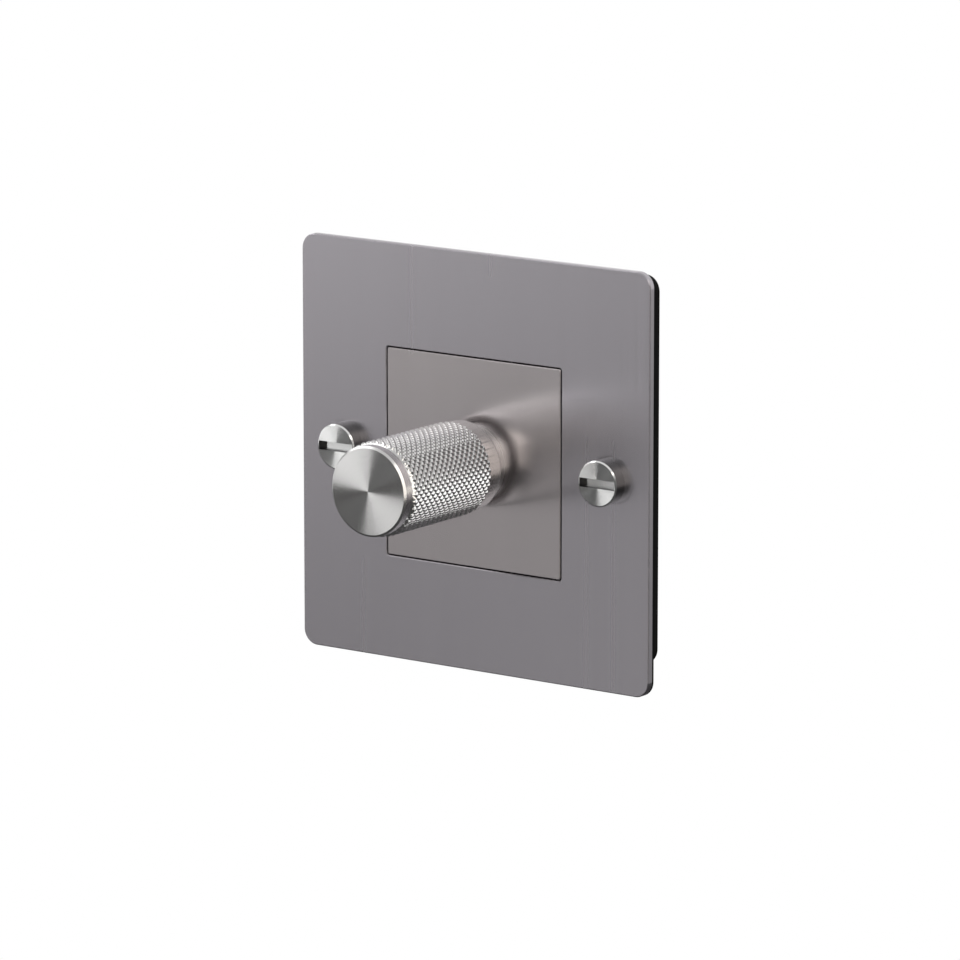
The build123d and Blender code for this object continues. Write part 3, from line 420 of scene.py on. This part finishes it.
def turned_steel(name, base, roughness, feed_mm=0.12):
    """Metal turned along Y and left bright.

    The eye sees faint rings that lie as far apart as the tool's feed.
    """
    material, tree, shader = start_material(name, Metallic=1.0)
    # Long enough that nothing changes along a ring.
    long_mm = feed_mm * 200
    rings = stretched_noise(tree, (long_mm, feed_mm, long_mm), detail=1.0)
    feed(tree, shader, {
        "Base Color": tint(tree, rings, base, 0.95, 1.03),
        "Roughness": spread(tree, rings, roughness * 0.9, roughness * 1.1),
    })
    return material


def moulded_plastic(name, base, roughness, grain_mm, depth_mm, ior=1.5, gloss=0.5):
    """Plastic from a spark-eroded mould, or rubber rolled to a sheet.

    The eye sees an even colour under a pebbled skin with grains grain_mm wide, depth_mm deep.
    """
    material, tree, shader = start_material(name, IOR=ior)
    shader.inputs["Specular IOR Level"].default_value = gloss
    grain = stretched_noise(tree, (grain_mm,) * 3, detail=2.0)
    cloud = stretched_noise(tree, (grain_mm * 22,) * 3, detail=1.0)
    feed(tree, shader, {
        "Base Color": tint(tree, cloud, base, 0.92, 1.06),
        "Roughness": spread(tree, grain, roughness - 0.05, roughness + 0.05),
        "Normal": bump(tree, grain, depth_mm),
    })
    return material


def plated_metal(name, base, roughness, spot_mm, spot_level):
    """Electroplated metal straight from the barrel.

    The eye sees a bright surface with cloudy spots and small handling marks.
    """
    material, tree, shader = start_material(name, Metallic=1.0)
    spots = stretched_noise(tree, (spot_mm,) * 3, detail=4.0, roughness=0.6)
    feed(tree, shader, {
        "Base Color": tint(tree, spots, base, spot_level, 1.04),
        "Roughness": spread(tree, spots, roughness + 0.06, roughness - 0.04),
    })
    return material


def mesh_piece(name, verts, faces, body, materials, face_materials=None):
    """A mesh object that rides on a body, with its materials and, if given, each face's material.
    """
    mesh = bpy.data.meshes.new(name)
    mesh.from_pydata(verts, [], faces)
    for material in materials:
        mesh.materials.append(material)
    if face_materials:
        mesh.polygons.foreach_set("material_index", face_materials)
    mesh.validate()
    mesh.update()
    piece = bpy.data.objects.new(name, mesh)
    bpy.context.scene.collection.objects.link(piece)
    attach(piece, body)
    return piece


def copied_piece(name, node, body, materials, material_of, keep=None, cuts=()):
    """A copy of a CAD node's mesh that replaces it, with a material chosen for each face.

    material_of and keep are asked with a face's middle and its normal, in the frame's own space.
    cuts are planes, each a point and a normal, along which faces are divided first.
    """
    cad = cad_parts[node]
    shape = bmesh.new()
    shape.from_mesh(cad.data)
    shape.transform(cad.matrix_world)
    bmesh.ops.remove_doubles(shape, verts=shape.verts, dist=0.001 * MM)
    for point, normal in cuts:
        parts = shape.verts[:] + shape.edges[:] + shape.faces[:]
        bmesh.ops.bisect_plane(shape, geom=parts, plane_co=point, plane_no=normal)
    shape.normal_update()
    if keep:
        spare = [f for f in shape.faces if not keep(f.calc_center_median(), f.normal)]
        bmesh.ops.delete(shape, geom=spare, context="FACES")
    shape.verts.index_update()
    verts = [vert.co.copy() for vert in shape.verts]
    faces = [[vert.index for vert in face.verts] for face in shape.faces]
    indices = [material_of(f.calc_center_median(), f.normal) for f in shape.faces]
    shape.free()
    piece = mesh_piece(name, verts, faces, body, materials, indices)
    shade_by_angle(piece)
    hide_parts(node)
    return piece


def shade_by_angle(piece):
    """Smooth shading that breaks at the sharp edges."""
    for polygon in piece.data.polygons:
        polygon.use_smooth = True
    piece.data.set_sharp_from_angle(angle=SHARP_ANGLE)


def circle_point(centre, radius, y, angle):
    """A point at an angle on a circle round an axis along Y; centre is the circle's x and z."""
    return (centre[0] + radius * math.cos(angle), y, centre[1] + radius * math.sin(angle))


def tube_faces(rings, steps):
    """Quads between rings of vertices that follow each other, each of the given number of steps."""
    faces = []
    for i in range(rings - 1):
        for j in range(steps):
            a, b = i * steps + j, i * steps + (j + 1) % steps
            faces.append((a, b, b + steps, a + steps))
    return faces


def end_faces(rings, steps):
    """The two polygons that close a tube of rings."""
    last = (rings - 1) * steps
    return [tuple(reversed(range(steps))), tuple(last + j for j in range(steps))]


def threaded_rod(name, body, material, centre, reach, thread_r, pitch, taper, bore_r=0.0):
    """A rod along Y with a right-handed sixty degree thread.

    centre is its x and z, reach its two ends and taper the length of its pointed ends.
    """
    steps = ROD_STEPS
    start, end = reach
    depth = THREAD_DEPTH * pitch
    count = round((end - start) / pitch * ROWS_PER_TURN)
    verts = []
    for i in range(count + 1):
        y = start + (end - start) * i / count
        fade = min(1.0, (y - start) / taper, (end - y) / taper)
        for j in range(steps):
            winding = y / pitch + j / steps
            height = 1 - 2 * abs(winding - round(winding))
            r = thread_r - depth + fade * depth * min(1.0, CREST_CUT * height)
            verts.append(circle_point(centre, r, y, 2 * math.pi * j / steps))
    faces = tube_faces(count + 1, steps)
    if bore_r:
        inner = len(verts)
        for y in (start, end):
            for j in range(steps):
                verts.append(circle_point(centre, bore_r, y, 2 * math.pi * j / steps))
        for j in range(steps):
            a, b = j, (j + 1) % steps
            faces.append((a, inner + a, inner + b, b))
            faces.append((inner + a, inner + steps + a, inner + steps + b, inner + b))
            last_a, last_b = count * steps + a, count * steps + b
            faces.append((last_b, inner + steps + b, inner + steps + a, last_a))
    else:
        faces += end_faces(count + 1, steps)
    rod = mesh_piece(name, verts, faces, body, [material])
    shade_by_angle(rod)
    return rod


def wire_piece(name, points, radius, sideways, body, material):
    """A round wire through points; sideways gives for each point a direction across the wire."""
    verts = []
    for i, point in enumerate(points):
        along = (points[min(i + 1, len(points) - 1)] - points[max(i - 1, 0)]).normalized()
        first = (sideways[i] - sideways[i].dot(along) * along).normalized()
        second = along.cross(first)
        for j in range(WIRE_STEPS):
            angle = 2 * math.pi * j / WIRE_STEPS
            verts.append(point + radius * (math.cos(angle) * first + math.sin(angle) * second))
    faces = tube_faces(len(points), WIRE_STEPS) + end_faces(len(points), WIRE_STEPS)
    wire = mesh_piece(name, verts, faces, body, [material])
    shade_by_angle(wire)
    return wire


def knurl_radius(settings, outer_r, across, along):
    """Radius of the knurled barrel where across counts teeth round it and along counts rows.

    Two families of grooves cross. The flanks of the first are steeper, so the blunt points slant.
    """
    first = abs((across + along) - round(across + along))
    second = abs((across - along) - round(across - along))
    height = min(2 * settings.steep * first, 2 * second, settings.blunt)
    return outer_r - settings.knurl_depth * (settings.blunt - height)


class DIMMER_OT_knob(bpy.types.Operator):
    """Turn the knob's profile into a barrel with a diamond knurl between its plain bands"""

    bl_idname = "dimmer.knob"
    bl_label = "Knurled Knob"

    def execute(self, context):
        settings = context.scene.dimmer_knob
        low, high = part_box("knob")
        front, rear, outer_r = low.y, high.y, high.x
        point_steps = 2 * settings.divisions
        steps = settings.teeth * point_steps
        row_step = settings.knurl_pitch / point_steps
        band_rear = front + settings.face_bevel + settings.front_band
        groove_front = band_rear + settings.front_r - settings.groove_r
        knurl_start = groove_front + settings.groove_w
        fade_start = rear - settings.rear_band - settings.knurl_lead / 2
        fade_end = rear - settings.rear_band
        recess_floor = rear - settings.recess_depth
        bore_front = front + settings.face_wall
        crown_rows = [
            (front + settings.crown * part ** 2, settings.face_r * part) for part in FACE_ROWS
        ]
        plain_front = crown_rows + [
            (front + settings.face_bevel, settings.front_r), (band_rear, settings.front_r),
            (groove_front, settings.groove_r), (knurl_start, settings.groove_r),
        ]
        rear_round = [
            (
                rear - settings.rear_bevel * (1 - math.sin(math.radians(angle))),
                settings.rear_r - settings.rear_bevel * (1 - math.cos(math.radians(angle))),
            )
            for angle in ROUND_ANGLES
        ]
        plain_rear = rear_round + [
            (rear, settings.recess_r), (recess_floor, settings.recess_r),
            (recess_floor, settings.bore_r), (bore_front, settings.bore_r),
        ]
        rows = [[(y, r)] * steps for y, r in plain_front]
        kinds = ["face"] * len(crown_rows) + ["turned"] * (len(plain_front) - len(crown_rows))
        count = round((fade_end - knurl_start) / row_step)
        for i in range(1, count + 1):
            y = knurl_start + i * (fade_end - knurl_start) / count
            rise = min(1.0, (y - knurl_start) / settings.knurl_lead)
            crest = settings.groove_r + rise * (outer_r - settings.groove_r)
            if y > fade_start:
                faded = (y - fade_start) / (fade_end - fade_start)
                crest = outer_r + (settings.rear_r - outer_r) * faded
            row = []
            for j in range(steps):
                r = knurl_radius(settings, outer_r, j / point_steps, i / point_steps)
                if i == count:
                    r = settings.rear_r
                row.append((y, min(r, crest)))
            rows.append(row)
            kinds.append("knurl")
        rows += [[(y, r)] * steps for y, r in plain_rear]
        kinds += ["turned"] * len(plain_rear)
        verts = [(0.0, front, 0.0)]
        for row in rows:
            for j, (y, r) in enumerate(row):
                verts.append(circle_point((0.0, 0.0), r, y, 2 * math.pi * j / steps))
        faces = []
        materials = []
        for j in range(steps):
            faces.append((0, 1 + j, 1 + (j + 1) % steps))
            materials.append(0)
        first_knurl = kinds.index("knurl")
        for i in range(len(rows) - 1):
            for j in range(steps):
                a = 1 + i * steps + j
                b = 1 + i * steps + (j + 1) % steps
                c, d = b + steps, a + steps
                if kinds[i + 1] == "knurl" or kinds[i] == "knurl":
                    # Each quad is split along the ridge or the groove that crosses it.
                    row_cell = (i - first_knurl + 1) // settings.divisions
                    cell = (j // settings.divisions + row_cell) % 2
                    faces += [(a, b, c), (a, c, d)] if cell == 0 else [(a, b, d), (b, c, d)]
                    materials += [1, 1]
                else:
                    faces.append((a, b, c, d))
                    materials.append(0 if kinds[i + 1] == "face" else 2)
        bore_first = 1 + (len(rows) - 1) * steps
        faces.append(tuple(bore_first + j for j in range(steps)))
        materials.append(2)
        face_steel = turned_face_steel(
            "lathe_faced_stainless", settings.steel, settings.face_roughness,
            settings.face_streak, centre_x=0.0,
        )
        knurl_steel = turned_steel("knurled_stainless", settings.steel, roughness=0.13)
        band_steel = turned_steel("turned_stainless", settings.steel, roughness=0.22)
        knob = mesh_piece(
            "knurled_knob", verts, faces, "knob",
            [face_steel, knurl_steel, band_steel], materials,
        )
        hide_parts("knob")
        for polygon in knob.data.polygons:
            polygon.use_smooth = polygon.material_index != 1
        knob.data.set_sharp_from_angle(angle=SHARP_ANGLE)
        return {"FINISHED"}


class DIMMER_OT_plates(bpy.types.Operator):
    """Finish the face plate and the flush centre plate"""

    bl_idname = "dimmer.plates"
    bl_label = "Brushed Plates"

    def execute(self, context):
        settings = context.scene.dimmer_plate
        steels = {"face_plate": settings.steel, "centre_plate": settings.insert_steel}
        for name, base in steels.items():
            material_name = f"upright_brushed_stainless_{name}"
            finish_nodes(vertically_brushed_steel(material_name, base, settings), name)
        return {"FINISHED"}


class DIMMER_OT_layers(bpy.types.Operator):
    """Finish the gasket and the backing frame"""

    bl_idname = "dimmer.layers"
    bl_label = "Gasket and Backing"

    def execute(self, context):
        settings = context.scene.dimmer_plate
        rubber = moulded_plastic(
            "calendered_rubber", settings.rubber,
            roughness=0.8, grain_mm=0.3, depth_mm=0.02, ior=1.52, gloss=0.08,
        )
        nylon = moulded_plastic(
            "moulded_nylon", settings.nylon,
            roughness=0.7, grain_mm=0.35, depth_mm=0.01, gloss=0.08,
        )
        finish_nodes(rubber, "gasket")
        finish_nodes(nylon, "backing_frame")
        return {"FINISHED"}


class DIMMER_OT_fixing_screws(bpy.types.Operator):
    """Give the two slotted fixing screws their faced heads, milled slots and threads"""

    bl_idname = "dimmer.fixing_screws"
    bl_label = "Fixing Screws"

    def execute(self, context):
        settings = context.scene.dimmer_plate
        bright = settings.screw_steel
        floor_steel = milled_slot_steel("slot_milled_stainless", bright, roughness=0.24)
        # Painted shade: the slot walls take a near-black copy of the steel, and the heads' sides a
        # darker copy.
        wall_shade_steel = turned_steel("slot_side_painted_shade_stainless", settings.slot_shade_wall, roughness=0.45)
        side_shade_steel = turned_steel("screw_side_painted_shade_stainless", settings.side_shade_steel, roughness=0.2)
        thread_steel = turned_steel("rolled_thread_stainless", bright, roughness=0.26)
        edge_steel = turned_steel("bevelled_edge_stainless", bright, roughness=0.12)
        for side in ("left", "right"):
            low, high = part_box(f"{side}_fixing_screw")
            x = (low.x + high.x) / 2
            head_r = (high.x - low.x) / 2
            slot_floor = low.y + settings.slot_depth
            face_steel = turned_face_steel(
                f"{side}_screw_faced_stainless", bright, roughness=0.17, streak=1.0, centre_x=x
            )

            def head_material(middle, normal):
                """Face, slot floor, bevelled edge, slot wall or side, from where a face lies."""
                radius = math.hypot(middle.x - x, middle.z)
                if normal.y < -0.99:
                    return 0 if middle.y < low.y + 0.1 * MM else 1
                if normal.y < -0.3:
                    return 4
                upright = middle.y < slot_floor and abs(normal.y) < 0.1
                return 2 if upright and radius < head_r - 0.3 * MM else 3

            copied_piece(
                f"{side}_screw_head", f"{side}_fixing_screw", "root",
                [face_steel, floor_steel, wall_shade_steel, side_shade_steel, edge_steel], head_material,
                lambda middle, normal: middle.y < settings.neck_end - NEAR,
            )
            thread = threaded_rod(
                f"{side}_screw_thread", "root", thread_steel, (x, 0.0),
                (settings.neck_end, high.y), settings.thread_r, settings.thread_pitch,
                settings.point_chamfer,
            )
            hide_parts(f"{side}_fixing_screw")
        return {"FINISHED"}


class DIMMER_OT_metalwork(bpy.types.Operator):
    """Finish the plated fasteners, the brass pieces and the mounting plate"""

    bl_idname = "dimmer.metalwork"
    bl_label = "Inner Metalwork"

    def execute(self, context):
        settings = context.scene.dimmer_module
        zinc = plated_metal(
            "bright_zinc_plate", settings.zinc, roughness=0.28, spot_mm=1.2, spot_level=0.9
        )
        nickel = plated_metal(
            "nickel_plated_brass", settings.nickel, roughness=0.22, spot_mm=1.6, spot_level=0.92
        )
        brass = plated_metal(
            "rolled_spring_brass", settings.brass, roughness=0.3, spot_mm=0.8, spot_level=0.88
        )
        nut = turned_steel("turned_dress_nut", context.scene.dimmer_knob.steel, roughness=0.28)
        plate = turned_steel("mill_aluminium", settings.aluminium, roughness=0.36, feed_mm=0.5)
        finish_nodes(
            zinc, "plate_nuts", "lock_washer", "retaining_clip", "housing_screws", "board_screws",
            "terminal_screws", "shaft",
        )
        finish_nodes(nickel, "load_clamp", "supply_clamp", "two_way_clamp")
        finish_nodes(
            brass, "contact_bridge", "left_fixed_contact", "right_fixed_contact", "wiper",
            "control_pins",
        )
        finish_nodes(nut, "bush_nut")
        finish_nodes(plate, "mounting_plate")
        return {"FINISHED"}


class DIMMER_OT_bush(bpy.types.Operator):
    """Cut the fine thread on the bush in front of its flange"""

    bl_idname = "dimmer.bush"
    bl_label = "Threaded Bush"

    def execute(self, context):
        settings = context.scene.dimmer_module
        nickel = turned_steel(
            "nickel_plated_turned_brass", settings.nickel, roughness=0.24, feed_mm=0.1
        )
        low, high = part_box("bush")
        flange = high.y - settings.bush_flange
        copied_piece(
            "bush_flange", "bush", "root", [nickel], lambda middle, normal: 0,
            lambda middle, normal: middle.y > flange, [((0.0, flange, 0.0), (0.0, 1.0, 0.0))],
        )
        thread = threaded_rod(
            "bush_thread", "root", nickel, (0.0, 0.0), (low.y, flange),
            settings.bush_thread_r, settings.bush_pitch, settings.bush_chamfer,
            settings.bush_bore_r,
        )
        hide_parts("bush")
        return {"FINISHED"}


class DIMMER_OT_choke(bpy.types.Operator):
    """Wind the choke's enamelled wire round its core, with both ends down to the board"""

    bl_idname = "dimmer.choke"
    bl_label = "Choke Winding"

    def execute(self, context):
        settings = context.scene.dimmer_module
        low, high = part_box("choke_winding")
        core_low, core_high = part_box("choke_core")
        centre_x = (low.x + high.x) / 2
        centre_z = (low.z + high.z) / 2
        core_r = (core_high.x - core_low.x) / 2
        ring_r = (core_r + settings.choke_hole_r) / 2
        lift = high.y - core_high.y - settings.wire_r
        half_w = (core_r - settings.choke_hole_r) / 2 + lift
        half_h = (core_high.y - core_low.y) / 2 + lift
        middle_y = (core_low.y + core_high.y) / 2
        # One turn of wire, from the middle of its front side, with three points round each bend.
        bend_r = settings.wire_r * 2
        inset = bend_r * 0.3
        bend = [
            (half_w - bend_r, half_h), (half_w - inset, half_h - inset), (half_w, half_h - bend_r)
        ]
        outline = [(0.0, -half_h)] + [(x, -y) for x, y in bend] + bend[::-1]
        outline += [(-x, y) for x, y in bend] + [(-x, -y) for x, y in bend[::-1]]
        start, end = settings.winding_start, settings.winding_end
        stops = [(start, 0.0, low.y - middle_y)]
        count = settings.choke_turns * len(outline)
        for i in range(count + 1):
            across, height = outline[i % len(outline)]
            stops.append((start + (end - start) * i / count, across, height))
        stops.append((end, 0.0, low.y - middle_y))
        points = []
        sideways = []
        for angle, across, height in stops:
            r = ring_r + across
            x, z = centre_x + r * math.cos(angle), centre_z - r * math.sin(angle)
            points.append(Vector((x, middle_y + height, z)))
            sideways.append(Vector((-math.sin(angle), 0.0, -math.cos(angle))))
        copper = plated_metal(
            "enamelled_copper", settings.copper, roughness=0.3, spot_mm=0.7, spot_level=0.85
        )
        wire = wire_piece(
            "choke_wire", points, settings.wire_r, sideways, "root", copper
        )
        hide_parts("choke_winding")
        return {"FINISHED"}


class DIMMER_OT_spring(bpy.types.Operator):
    """Coil the plunger's return spring to the length of its CAD node"""

    bl_idname = "dimmer.spring"
    bl_label = "Return Spring"

    def execute(self, context):
        settings = context.scene.dimmer_module
        low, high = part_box("return_spring")
        wire_r = settings.spring_wire_r
        coil_r = (high.x - low.x) / 2 - wire_r
        height = high.y - low.y - 2 * wire_r
        count = settings.spring_turns * COIL_STEPS
        points = []
        sideways = []
        for i in range(count + 1):
            done = i / count
            angle = 2 * math.pi * i / COIL_STEPS
            outward = Vector((math.cos(angle), 0.0, math.sin(angle)))
            # The end turns are closed up, so the pitch is small at both ends.
            eased = done - CLOSED_ENDS * math.sin(2 * math.pi * done) / (2 * math.pi)
            points.append(coil_r * outward + Vector((0.0, low.y + wire_r + height * eased, 0.0)))
            sideways.append(outward)
        steel = plated_metal(
            "zinc_plated_spring_wire", settings.zinc, roughness=0.25, spot_mm=0.6, spot_level=0.92
        )
        spring = wire_piece(
            "coiled_return_spring", points, wire_r, sideways, "root", steel
        )
        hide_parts("return_spring")
        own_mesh(spring)
        return {"FINISHED"}


class DIMMER_OT_mouldings(bpy.types.Operator):
    """Finish the moulded pieces of the module"""

    bl_idname = "dimmer.mouldings"
    bl_label = "Module Mouldings"

    def execute(self, context):
        settings = context.scene.dimmer_module
        housing = moulded_plastic(
            "spark_eroded_housing_nylon", settings.housing,
            roughness=0.55, grain_mm=0.4, depth_mm=0.012,
        )
        terminal = moulded_plastic(
            "moulded_terminal_nylon", settings.terminal,
            roughness=0.5, grain_mm=0.3, depth_mm=0.008,
        )
        acetal = moulded_plastic(
            "moulded_acetal", context.scene.dimmer_plate.nylon,
            roughness=0.42, grain_mm=0.3, depth_mm=0.004,
        )
        finish_nodes(housing, "module_housing", "switch_case")
        finish_nodes(terminal, "terminal_block", "switch_plunger")
        finish_nodes(acetal, "control_case", "wiper_rotor", "knob_insert")
        return {"FINISHED"}


class DIMMER_OT_electronics(bpy.types.Operator):
    """Finish the circuit board and the parts on it"""

    bl_idname = "dimmer.electronics"
    bl_label = "Board and Parts"

    def execute(self, context):
        settings = context.scene.dimmer_module
        laminate = moulded_plastic(
            "masked_glass_laminate", settings.solder_mask,
            roughness=0.35, grain_mm=0.6, depth_mm=0.006, ior=1.55,
        )
        finish_nodes(laminate, "circuit_board", "track_disc")
        epoxy = moulded_plastic(
            "transfer_moulded_epoxy", settings.epoxy,
            roughness=0.5, grain_mm=0.15, depth_mm=0.006, ior=1.55,
        )
        tin = plated_metal(
            "hot_tinned_copper", settings.tin, roughness=0.34, spot_mm=0.5, spot_level=0.9
        )
        for side in ("left", "right"):
            low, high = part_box(f"{side}_transistor")
            step = high.z - settings.transistor_tab
            foot = step - settings.transistor_body

            def transistor_material(middle, normal):
                """Moulded between foot and step, bare metal at the back, the tab and the legs."""
                back = normal.y < -0.9 and middle.y < low.y + NEAR
                return 1 if back or not foot - NEAR < middle.z < step + NEAR else 0

            up = (0.0, 0.0, 1.0)
            copied_piece(
                f"{side}_transistor_device", f"{side}_transistor", "root",
                [epoxy, tin], transistor_material, None,
                [((0.0, 0.0, step), up), ((0.0, 0.0, foot), up)],
            )
        copied_piece(
            "control_chip_device", "control_chip", "root", [epoxy, tin],
            lambda middle, normal: 1 if abs(middle.x) > settings.chip_half_w + NEAR else 0,
        )
        silicone = moulded_plastic(
            "silicone_sheet", settings.pad, roughness=0.7, grain_mm=0.25, depth_mm=0.01, ior=1.43
        )
        ferrite = moulded_plastic(
            "coated_ferrite", settings.ferrite, roughness=0.4, grain_mm=0.5, depth_mm=0.02
        )
        film = moulded_plastic(
            "potted_film_box", settings.film, roughness=0.3, grain_mm=0.8, depth_mm=0.004
        )
        finish_nodes(silicone, "left_insulator", "right_insulator")
        finish_nodes(ferrite, "choke_core")
        finish_nodes(film, "film_capacitor")
        low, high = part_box("smoothing_capacitor")
        sleeve = moulded_plastic(
            "shrunk_sleeve", settings.sleeve, roughness=0.3, grain_mm=0.9, depth_mm=0.006
        )
        can = turned_steel("drawn_can_aluminium", settings.aluminium, roughness=0.3)
        copied_piece(
            "smoothing_capacitor_can", "smoothing_capacitor", "root", [sleeve, can],
            lambda middle, normal: 1 if normal.y > 0.9 and middle.y > high.y - NEAR else 0,
        )
        return {"FINISHED"}


def direction_level(tree, axis_value, values, levels):
    """A grey level that follows one component of a direction, with a level at each value."""
    place = add_node(
        tree, "ShaderNodeMapRange", {"Value": axis_value, "From Min": -1.0, "From Max": 1.0}
    )
    ramp = add_node(tree, "ShaderNodeValToRGB", {"Fac": place.outputs["Result"]})
    ramp.color_ramp.interpolation = "EASE"
    elements = ramp.color_ramp.elements
    while len(elements) < len(values):
        elements.new(0.5)
    for element, value, level in zip(elements, values, levels):
        element.position = (value + 1) / 2
        element.color = (level, level, level, 1.0)
    return ramp.outputs["Color"]


def studio_world(settings):
    """A grey studio in front of the switch and a white backdrop behind, which metal shows too."""
    world = bpy.data.worlds.new("studio")
    world.use_nodes = True
    tree = world.node_tree
    tree.nodes.clear()
    place = add_node(tree, "ShaderNodeTexCoord")
    split = add_node(tree, "ShaderNodeSeparateXYZ", {"Vector": place.outputs["Generated"]})
    room_levels = (settings.ground, settings.horizon, settings.sky)
    room = direction_level(tree, split.outputs["Z"], ROOM_HEIGHTS, room_levels)
    beyond = direction_level(tree, split.outputs["Y"], BACKDROP_DEPTHS, (0.0, 1.0))
    above = direction_level(tree, split.outputs["Z"], BACKDROP_HEIGHTS, (0.0, 1.0))
    behind = add_node(tree, "ShaderNodeMath", {0: beyond, 1: above}, operation="MULTIPLY")
    ray = add_node(tree, "ShaderNodeLightPath")
    shown = add_node(
        tree, "ShaderNodeMath",
        {0: ray.outputs["Is Glossy Ray"], 1: behind.outputs["Value"]}, operation="MULTIPLY",
    )
    for seen in ("Is Camera Ray", "Is Transmission Ray"):
        shown = add_node(
            tree, "ShaderNodeMath",
            {0: shown.outputs["Value"], 1: ray.outputs[seen]}, operation="MAXIMUM",
        )
    level = add_node(
        tree, "ShaderNodeMix",
        {0: shown.outputs["Value"], 6: room, 7: (1.0, 1.0, 1.0, 1.0)}, data_type="RGBA",
    )
    background = add_node(tree, "ShaderNodeBackground", {"Color": level.outputs[2]})
    add_node(tree, "ShaderNodeOutputWorld", {"Surface": background.outputs["Background"]})
    return world


def add_softbox(name, level, azimuths, elevations, tone, distance=8.0):
    """A soft rectangular lamp of an even level that spans two azimuths and two elevations."""
    azimuth, elevation = (math.radians(sum(pair) / 2) for pair in (azimuths, elevations))
    width, height = (
        2 * distance * math.tan(math.radians(abs(pair[1] - pair[0]) / 2))
        for pair in (azimuths, elevations)
    )
    data = bpy.data.lights.new(name, "AREA")
    data.shape = "RECTANGLE"
    data.size = width
    data.size_y = height
    data.energy = level * math.pi * data.size * data.size_y
    data.color = tone
    lamp = bpy.data.objects.new(name, data)
    place = distance * Vector((
        math.sin(azimuth) * math.cos(elevation),
        -math.cos(azimuth) * math.cos(elevation),
        math.sin(elevation),
    ))
    lamp.location = place
    lamp.rotation_euler = (-place).to_track_quat("-Z", "Y").to_euler()
    lamp.visible_camera = False
    bpy.context.scene.collection.objects.link(lamp)


class DIMMER_OT_studio(bpy.types.Operator):
    """Set up the camera, the world and the lamps"""

    bl_idname = "dimmer.studio"
    bl_label = "Studio"

    def execute(self, context):
        settings = context.scene.dimmer_studio
        scene = context.scene
        scene.view_settings.view_transform = "Standard"
        scene.world = studio_world(settings)
        camera_data = bpy.data.cameras.new("photo_camera")
        camera_data.sensor_width = 36.0
        camera_data.lens = settings.camera_lens
        camera_data.clip_start = 0.01
        camera = bpy.data.objects.new("photo_camera", camera_data)
        camera.location = settings.camera_place
        camera.rotation_euler = (math.pi / 2 - settings.camera_pitch, 0.0, settings.camera_yaw)
        scene.collection.objects.link(camera)
        scene.camera = camera
        for name, level, azimuths, elevations in SOFTBOXES:
            tone = settings.warm[:3] if level == "fill" else (1.0, 1.0, 1.0)
            add_softbox(name, getattr(settings, level), azimuths, elevations, tone)
        return {"FINISHED"}


class DIMMER_PT_panel(bpy.types.Panel):
    """Lists the steps that build the switch"""

    bl_label = "Push Dimmer Switch"
    bl_idname = "DIMMER_PT_panel"
    bl_space_type = "VIEW_3D"
    bl_region_type = "UI"
    bl_category = "Dimmer"

    def draw(self, context):
        for operator in OPERATORS:
            self.layout.operator(operator.bl_idname)


SETTINGS = {
    "dimmer_knob": KnobSettings,
    "dimmer_plate": PlateSettings,
    "dimmer_module": ModuleSettings,
    "dimmer_studio": StudioSettings,
}
OPERATORS = (
    DIMMER_OT_studio,
    DIMMER_OT_plates,
    DIMMER_OT_layers,
    DIMMER_OT_fixing_screws,
    DIMMER_OT_knob,
    DIMMER_OT_metalwork,
    DIMMER_OT_bush,
    DIMMER_OT_choke,
    DIMMER_OT_spring,
    DIMMER_OT_mouldings,
    DIMMER_OT_electronics,
)


def register():
    for group in SETTINGS.values():
        bpy.utils.register_class(group)
    for operator in OPERATORS:
        bpy.utils.register_class(operator)
    bpy.utils.register_class(DIMMER_PT_panel)
    for name, group in SETTINGS.items():
        setattr(bpy.types.Scene, name, bpy.props.PointerProperty(type=group))


def unregister():
    for name in SETTINGS:
        delattr(bpy.types.Scene, name)
    bpy.utils.unregister_class(DIMMER_PT_panel)
    for operator in reversed(OPERATORS):
        bpy.utils.unregister_class(operator)
    for group in reversed(SETTINGS.values()):
        bpy.utils.unregister_class(group)


def main():
    """Builds everything."""
    register()
    bpy.ops.dimmer.studio()
    bpy.ops.dimmer.plates()
    bpy.ops.dimmer.layers()
    bpy.ops.dimmer.fixing_screws()
    bpy.ops.dimmer.knob()
    bpy.ops.dimmer.metalwork()
    bpy.ops.dimmer.bush()
    bpy.ops.dimmer.choke()
    bpy.ops.dimmer.spring()
    bpy.ops.dimmer.mouldings()
    bpy.ops.dimmer.electronics()


if __name__ == "__main__":
    main()
